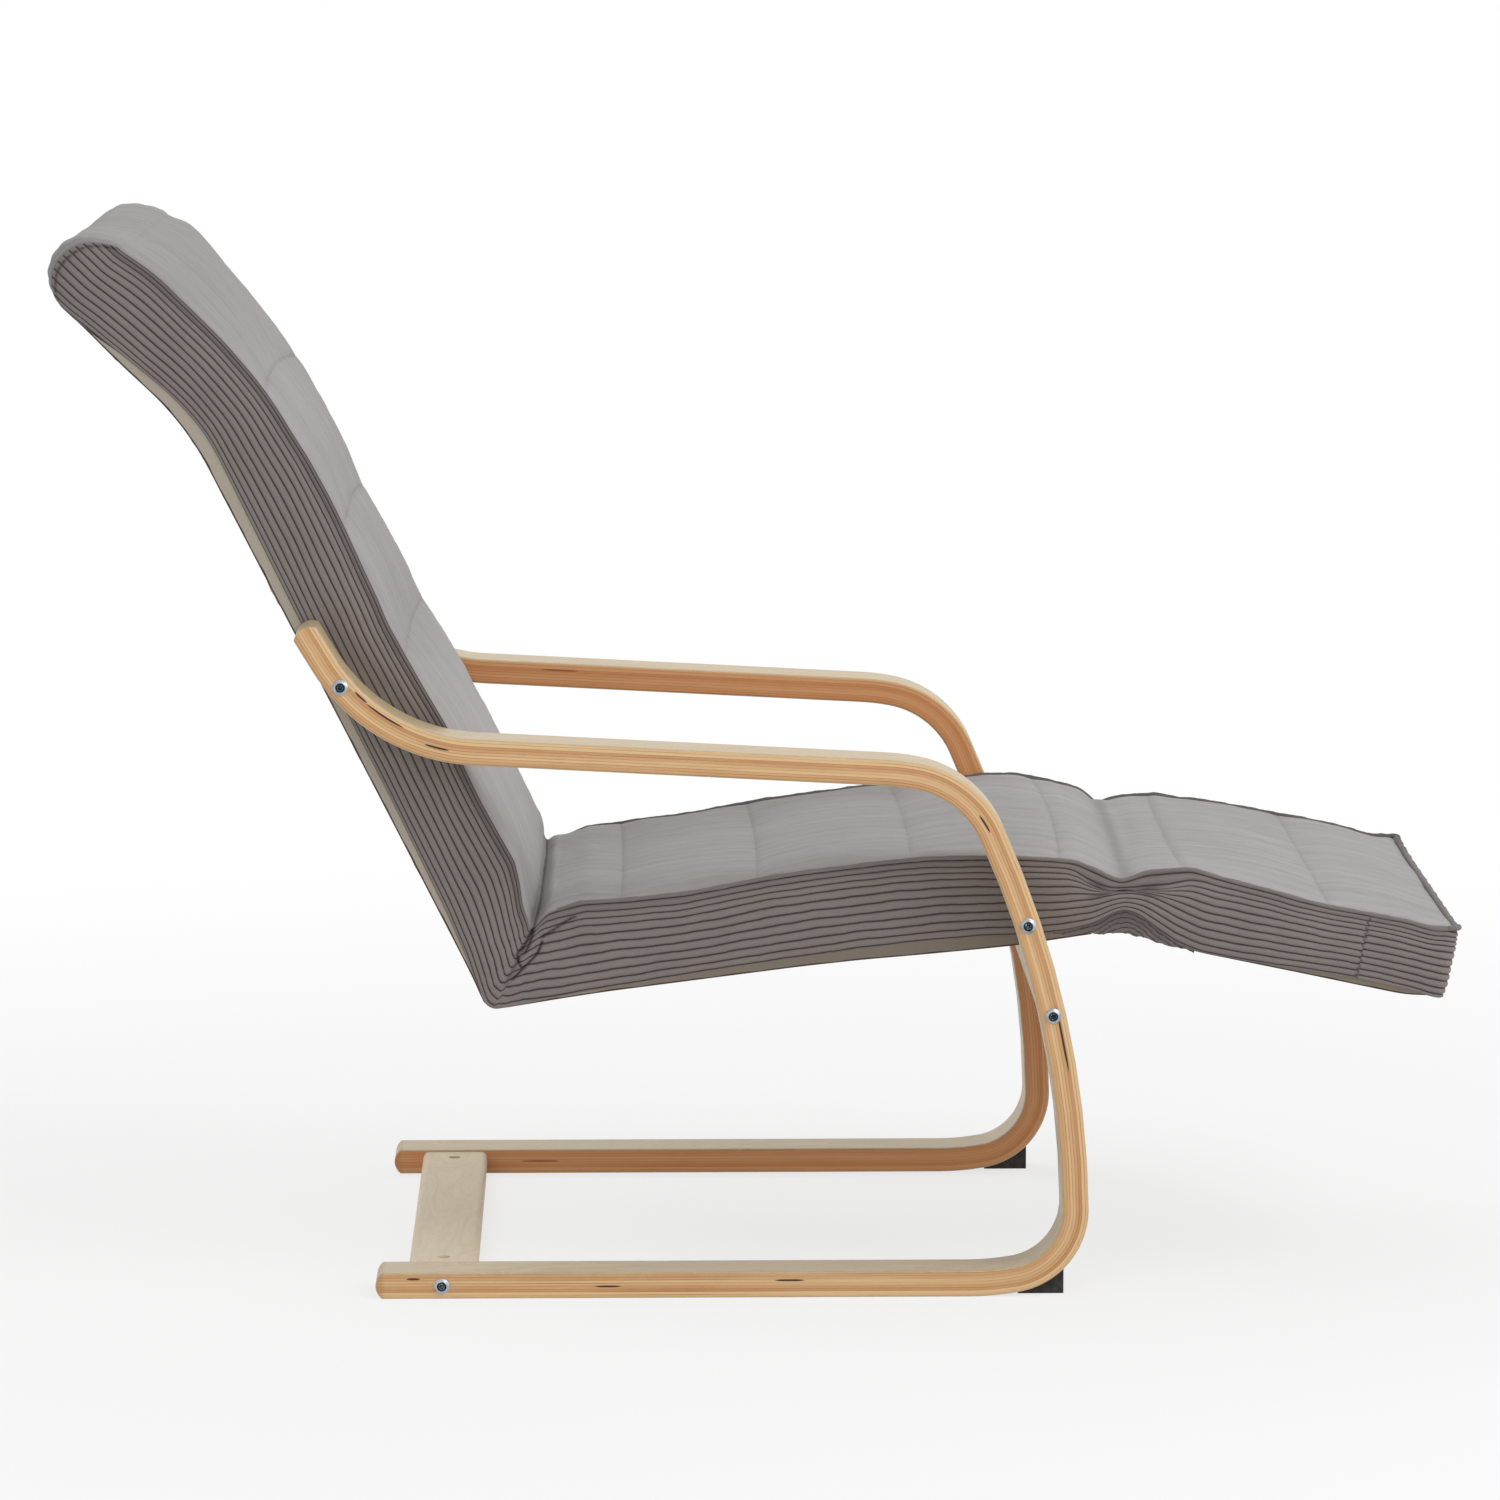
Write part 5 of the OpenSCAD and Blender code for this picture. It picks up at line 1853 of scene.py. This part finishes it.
@dataclass
class HingeGusset:
    """The gathered ribbed cloth that hangs under the arch beside one hinge."""

    side: int
    finish: Material
    cover: LongCover
    first: float = 530.0
    last: float = 676.0
    low: Profile = Profile(
        ((530, -20), (550, -24), (580, -26.5), (620, -31), (650, -34), (680, -35)), soft=6.0
    )
    gather: Ripple = Ripple(47, 34.0)
    flat: tuple[float, float] = (0.146, 0.021)
    half_width: float = 275.6
    rib: float = 4.6
    tuck_in: float = 3.0
    rows: int = 66
    columns: int = 42

    def make(self) -> Object:
        """Builds the gusset.

        Returns:
            The object.
        """
        along = np.linspace(self.first, self.last, self.rows)[:, None]
        drop = np.linspace(0, 1, self.columns)[None, :]
        top = self.cover.hem.at(along) + self.tuck_in
        low = self.low.at(along) + 0.9 * self.gather.at(along)
        level = top + (low - top) * drop
        phase = drop * (top - low) / self.rib + 0.2 * self.gather.at(along, drop * 30)
        out = 0.7 * self.cover.rib(phase) + 0.5 * self.gather.at(along, drop * 20) * drop
        x = self.side * (self.half_width + np.clip(out, -0.4, 1.0))
        run = along + self.cover.shift(along, self.side) + 0 * drop
        spots = self.cover.mid.world(x, run, level)
        cloth = np.stack(np.broadcast_arrays(along * MM, phase), -1)
        # Painted shade, darker towards the top under the cover's hem.
        dark = 0.3 + 0.35 * (1 - drop) + 0 * along
        name = f"{'right' if self.side < 0 else 'left'}_hinge_gusset"
        piece = lay_cloth(name, spots, cloth, dark, self.finish)
        bend(piece)
        return piece


@dataclass
class SeamRoll:
    """The rolled seam round the seat and footrest, with an ear at each end corner."""

    finish: Material
    cover: LongCover
    first: float = 36.0
    radius: float = 2.0
    facets: int = 10
    step: float = 3.0
    rise: float = 0.8
    ear: float = 2.6
    lumps: Ripple = Ripple(61, 46.0)

    def corner(self, side: int) -> Grid:
        """Turns the seam round one end corner, with its ear.

        Args:
            side: Which side, -1 or 1.

        Returns:
            Rows of across, along and level.
        """
        cover = self.cover
        turn_at = cover.end_at - cover.end_r
        angle = np.linspace(0, math.pi / 2, 7)
        ear = self.ear * np.sin(2 * angle) ** 1.5
        across = side * (cover.half_width - 0.2 - cover.end_r + (cover.end_r + ear) * np.cos(angle))
        along = turn_at + (cover.end_r + ear) * np.sin(angle)
        level = cover.seam_level(turn_at + cover.end_r * np.sin(angle), side) + self.rise + 0.7 * ear
        return np.stack([across, along, level], -1)

    def path(self) -> Grid:
        """Walks the seam from the near crease round the footrest end to the far crease.

        Returns:
            Rows of across, along and level.
        """
        cover = self.cover
        turn_at = cover.end_at - cover.end_r
        along = np.arange(self.first, turn_at, self.step)
        wide = cover.half_width - 0.2
        near = np.stack([-wide + 0 * along, along, cover.seam_level(along, -1) + self.rise], -1)
        slid = along + cover.shift(along, 1)
        far = np.stack([wide + 0 * along, slid, cover.seam_level(along, 1) + self.rise], -1)[::-1]
        inner = wide - cover.end_r
        across = np.linspace(-inner, inner, 130)[1:-1]
        share = across / inner
        start, stop = (cover.seam_level(np.full(len(across), at), share) for at in (turn_at, cover.end_at))
        edge = start + self.rise + (stop - start) * np.abs(share) ** 12
        end = np.stack([across, cover.end_at + 0 * across, edge], -1)
        return np.concatenate([near, self.corner(-1), end, self.corner(1)[::-1], far])

    def make(self) -> Object:
        """Builds the roll.

        Returns:
            The object.
        """
        path = self.path()
        spots = self.cover.mid.world(path[:, 0], path[:, 1], path[:, 2]) / MM
        run = np.gradient(spots, axis=0)
        run /= np.linalg.norm(run, axis=1, keepdims=True)
        out = np.cross(run, (0.0, -0.05, 1.0))
        out /= np.linalg.norm(out, axis=1, keepdims=True)
        rise = np.cross(out, run)
        gone = np.concatenate([[0], np.cumsum(np.linalg.norm(np.diff(spots, axis=0), axis=1))])
        to_end = gone[-1] - gone
        taper = np.sqrt(ease(gone, -4, 30) * ease(to_end, -4, 30))
        far = ease(path[:, 0], 120, 270)
        thick = 1 + 0.55 * ease(path[:, 1], self.cover.end_at - 40, self.cover.end_at)
        thick = thick + 0.5 * far * ease(to_end, 0, 200)
        radius = self.radius * taper * thick * (1 + 0.16 * self.lumps.at(gone))
        angle = np.linspace(0, 2 * math.pi, self.facets + 1)[None, :-1, None]
        ring = out[:, None] * np.cos(angle) + rise[:, None] * np.sin(angle)
        skin = (spots[:, None] + radius[:, None, None] * ring) * MM
        index = np.arange(len(path) * self.facets).reshape(len(path), self.facets)
        after = np.roll(index, -1, axis=1)
        faces = np.stack([index[:-1], index[1:], after[1:], after[:-1]], -1).reshape(-1, 4).tolist()
        faces += [index[0].tolist(), index[-1][::-1].tolist()]
        turn = 0.25 + 0.5 * np.arange(self.facets)[None, :] / self.facets
        cloth = np.stack(np.broadcast_arrays(gone[:, None] * MM, turn), -1)
        # Painted shade on the whole roll, darker on the far side's roll.
        dark = np.repeat(0.1 + 0.4 * far, self.facets)
        piece = cloth_piece("rolled_top_seam", skin, faces, cloth, dark, self.finish)
        bend(piece)
        return piece


@dataclass
class SideFrames:
    """The two bent strips, whose plies follow their bends."""

    finish: Material
    path: StripPath = field(default_factory=StripPath)

    def dress(self) -> None:
        """Unrolls both strips into a map along and through their plies."""
        for name in ("left_side_frame", "right_side_frame"):
            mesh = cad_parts[name].data
            spots = points_of(mesh) / MM
            flat = self.path.unroll(np.stack([MIDDLE - spots[:, 1], spots[:, 2]], -1)) * MM
            put_map(mesh, "strip", flat)
            paint(name, self.finish)


@dataclass
class BoltHeads:
    """The domed bolts, measured out from their own axes."""

    finish: Material

    @staticmethod
    def islands(mesh: Mesh) -> Grid:
        """Numbers the separate bolts of one node.

        Args:
            mesh: The node's mesh.

        Returns:
            For each point, the lowest number in its bolt.
        """
        label = np.arange(len(mesh.vertices))
        ends = np.array([edge.vertices[:] for edge in mesh.edges])
        while True:
            least = np.minimum(label[ends[:, 0]], label[ends[:, 1]])
            after = label.copy()
            np.minimum.at(after, ends[:, 0], least)
            np.minimum.at(after, ends[:, 1], least)
            if (after == label).all():
                return label
            label = after

    def dress(self, node: str) -> None:
        """Measures one node's bolts, whose axes run across the chair, and paints them.

        Args:
            node: The node's name.
        """
        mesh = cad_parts[node].data
        spots = points_of(mesh) / MM
        labels, reach = self.islands(mesh), np.zeros(len(spots))
        for label in np.unique(labels):
            chosen = spots[labels == label][:, 1:]
            middle = (chosen.min(0) + chosen.max(0)) / 2
            reach[labels == label] = np.hypot(*(chosen - middle).T)
        put_number(mesh, "reach", reach)
        paint(node, self.finish)


def paint(node: str, material: Material) -> None:
    """Gives one CAD node its finish."""
    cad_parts[node].data.materials.clear()
    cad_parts[node].data.materials.append(material)


@dataclass(frozen=True)
class Lamp:
    """A square soft lamp, in metres and watts."""

    name: str
    spot: tuple[float, float, float]
    size: float
    power: float
    aim: tuple[float, float, float] = (0, 0, 0.5)


@dataclass
class Studio:
    """The camera, the lamps and the pale floor."""

    eye: tuple[float, float, float] = (-6.960, 0.14092, 1.4339)
    aim: tuple[float, float, float] = (-0.335, 0.00955, 0.5265)
    lens: float = 170.38
    sensor: float = 36.0
    glow: float = 0.62
    floor_tone: float = 0.82
    floor_size: float = 30.0
    shadow_share: float = 0.28
    lamps: tuple[Lamp, ...] = (
        Lamp("key_lamp", (-2.0, -2.8, 3.5), 3.0, 66.0),
        Lamp("foot_lamp", (-1.4, -4.0, 1.3), 2.0, 15.0, aim=(0, 0.2, 0.6)),
        Lamp("fill_lamp", (-4.5, 1.2, 1.6), 2.5, 24.0),
        Lamp("back_lamp", (3.0, 1.5, 3.6), 2.5, 40.0),
    )

    @staticmethod
    def hang(name: str, data: ID, spot: tuple, aim: tuple) -> Object:
        """Places the camera or a lamp, and turns it to what it faces.

        Args:
            name: The object's name.
            data: The camera or lamp.
            spot: Where it hangs.
            aim: What it faces.

        Returns:
            The object.
        """
        made = put_object(name, data)
        made.location = spot
        made.rotation_euler = (Vector(aim) - Vector(spot)).to_track_quat("-Z", "Y").to_euler()
        return made

    def camera(self) -> None:
        """Sets the camera where the photograph was taken from."""
        data = bpy.data.cameras.new("camera")
        data.lens, data.sensor_width, data.clip_end = self.lens, self.sensor, 200.0
        bpy.context.scene.camera = self.hang("camera", data, self.eye, self.aim)

    def light(self, lamp: Lamp) -> None:
        """Hangs one soft lamp.

        Args:
            lamp: Its place, size, power and aim.
        """
        data = bpy.data.lights.new(lamp.name, "AREA")
        data.shape, data.size, data.energy = "SQUARE", lamp.size, lamp.power
        self.hang(lamp.name, data, lamp.spot, lamp.aim)

    @staticmethod
    def seen(kit: NodeKit) -> Wire:
        """Gives 1 for rays that show a background: seen, mirrored or through glass.

        Args:
            kit: The node kit.

        Returns:
            The share of the background.
        """
        path = kit.wires(kit.add("ShaderNodeLightPath"))
        first = kit.math("MAXIMUM", path["Is Camera Ray"], path["Is Glossy Ray"])
        return kit.math("MAXIMUM", first, path["Is Transmission Ray"])

    def world(self) -> None:
        """Fills the room with plain white light."""
        world = bpy.data.worlds.new("studio")
        bpy.context.scene.world = world
        kit = open_nodes(world)
        glow = kit.take("ShaderNodeBackground", {"Color": WHITE, "Strength": self.glow})
        white = kit.take("ShaderNodeBackground", {"Color": WHITE, "Strength": 1.0})
        mixed = kit.take("ShaderNodeMixShader", {0: self.seen(kit), 1: glow, 2: white})
        kit.add("ShaderNodeOutputWorld", {"Surface": mixed})

    def floor(self) -> None:
        """Lays the pale floor, which keeps the chair's shadow."""
        build = bmesh.new()
        bmesh.ops.create_grid(build, x_segments=24, y_segments=24, size=self.floor_size)
        mesh = bpy.data.meshes.new("floor")
        build.to_mesh(mesh)
        build.free()
        material = bpy.data.materials.new("floor_white")
        kit = open_nodes(material)
        matt = kit.take("ShaderNodeBsdfDiffuse", {"Color": (*[self.floor_tone] * 3, 1)})
        white = kit.take("ShaderNodeEmission", {"Color": WHITE, "Strength": 1.0})
        away = kit.take("ShaderNodeVectorMath", {0: kit.piece_at()}, "Value", operation="LENGTH")
        fade = kit.step(away, 0.9, 2.6) * self.shadow_share + (1 - self.shadow_share)
        mixed = kit.take("ShaderNodeMixShader", {0: fade * self.seen(kit), 1: matt, 2: white})
        kit.add("ShaderNodeOutputMaterial", {"Surface": mixed})
        mesh.materials.append(material)
        put_object("floor", mesh)

    def build(self) -> None:
        """Sets up the whole studio."""
        self.camera()
        self.world()
        self.floor()
        for lamp in self.lamps:
            self.light(lamp)


def dress_nodes(webbing: Material, lining: Material, ribbed: Material) -> None:
    """Gives each CAD node its finish, by the end of its name; the longest fitting end counts.

    Args:
        webbing: The straps' finish.
        lining: The linings' finish.
        ribbed: The cover's ribbed finish.
    """
    hinge = PlatedSteel("hinge_steel", shade(92, 92, 94), shade(60, 60, 62), 0.4).build()
    finishes = {
        ("rear_base_board", "leg_cross_board"): SawnTimber(
            "board_veneer", shade(230, 214, 186), shade(208, 188, 154)
        ).build(),
        ("frame_rail", "footrest_rail"): SawnTimber(
            "rail_timber", shade(214, 186, 142), shade(188, 152, 104), axis=1
        ).build(),
        ("crossbar",): SawnTimber("bar_timber", shade(214, 186, 142), shade(188, 152, 104)).build(),
        ("screws", "nuts"): PlatedSteel("zinc_steel", shade(206, 210, 214), shade(168, 172, 178)).build(),
        ("hinge_plate", "footrest_arm", "hinge_pivots"): hinge,
        ("spring",): PlatedSteel("spring_steel", shade(140, 142, 146), shade(98, 100, 104), 0.3).build(),
        ("foot",): FootRubber().build(),
        ("webbing",): webbing,
        ("lining",): lining,
        ("cushion",): ribbed,
    }
    for name in sorted(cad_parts):
        if name.endswith(("side_frame", "bolts")):
            continue
        fitting = [(len(end), made) for ends, made in finishes.items() for end in ends if name.endswith(end)]
        paint(name, max(fitting, key=lambda pair: pair[0])[1])
        LOG.info("dressed %s", name)


def main() -> None:
    """Builds the studio and dresses every piece of the chair."""
    logging.basicConfig(level=logging.INFO, format="%(message)s")
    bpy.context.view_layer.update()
    bpy.context.scene.view_settings.view_transform = "Standard"
    Finish.effects = Effects()
    Studio().build()
    lining, panel, ribbed = LiningCloth().build(), PanelFabric().build(), RibbedFabric().build()
    SideFrames(FrameLaminate().build()).dress()
    heads = BoltHeads(BoltSteel("bolt_zinc", shade(176, 184, 188), shade(140, 148, 152), 0.3).build())
    for name in ("frame_bolts", "board_bolts"):
        heads.dress(name)
    dress_nodes(ElasticWebbing().build(), lining, ribbed)
    cover = LongCover([panel, ribbed])
    frame_low = Profile((
        (-771, -20.2), (-743, -20.2), (-726, -21), (-699, -21.6), (-600, -20.8), (-300, -20.2),
        (-60, -20.2), (-25, -20.6), (0, -23.8), (22, -22.8), (60, -21.2), (100, -20.3), (286, -20.4),
        (343, -21.5), (401, -24), (458, -26), (492, -27), (566, -25.5),
    ), soft=10.0)
    rest_low = Profile(
        ((640, -30), (680, -34.5), (780, -34), (878, -34), (893, -32.5), (905, -29.5)), soft=6.0
    )
    for maker in (
        cover,
        Lining(
            "long_frame_lining", "frame_lining", Body.CHAIR, lining, cover, -771.0, 566.0,
            frame_low, (0.590, 1.34),
        ),
        Lining(
            "short_footrest_lining", "footrest_lining", Body.FOOTREST, lining, cover, 644.0, 905.0,
            rest_low, (0.577, 0.262), wrinkle=0.9, seed=37,
        ),
        HingeGusset(-1, ribbed, cover), HingeGusset(1, ribbed, cover), SeamRoll(ribbed, cover),
    ):
        piece = maker.make()
        LOG.info("made %s with %d faces", piece.name, len(piece.data.polygons))


if __name__ == "__main__":
    main()
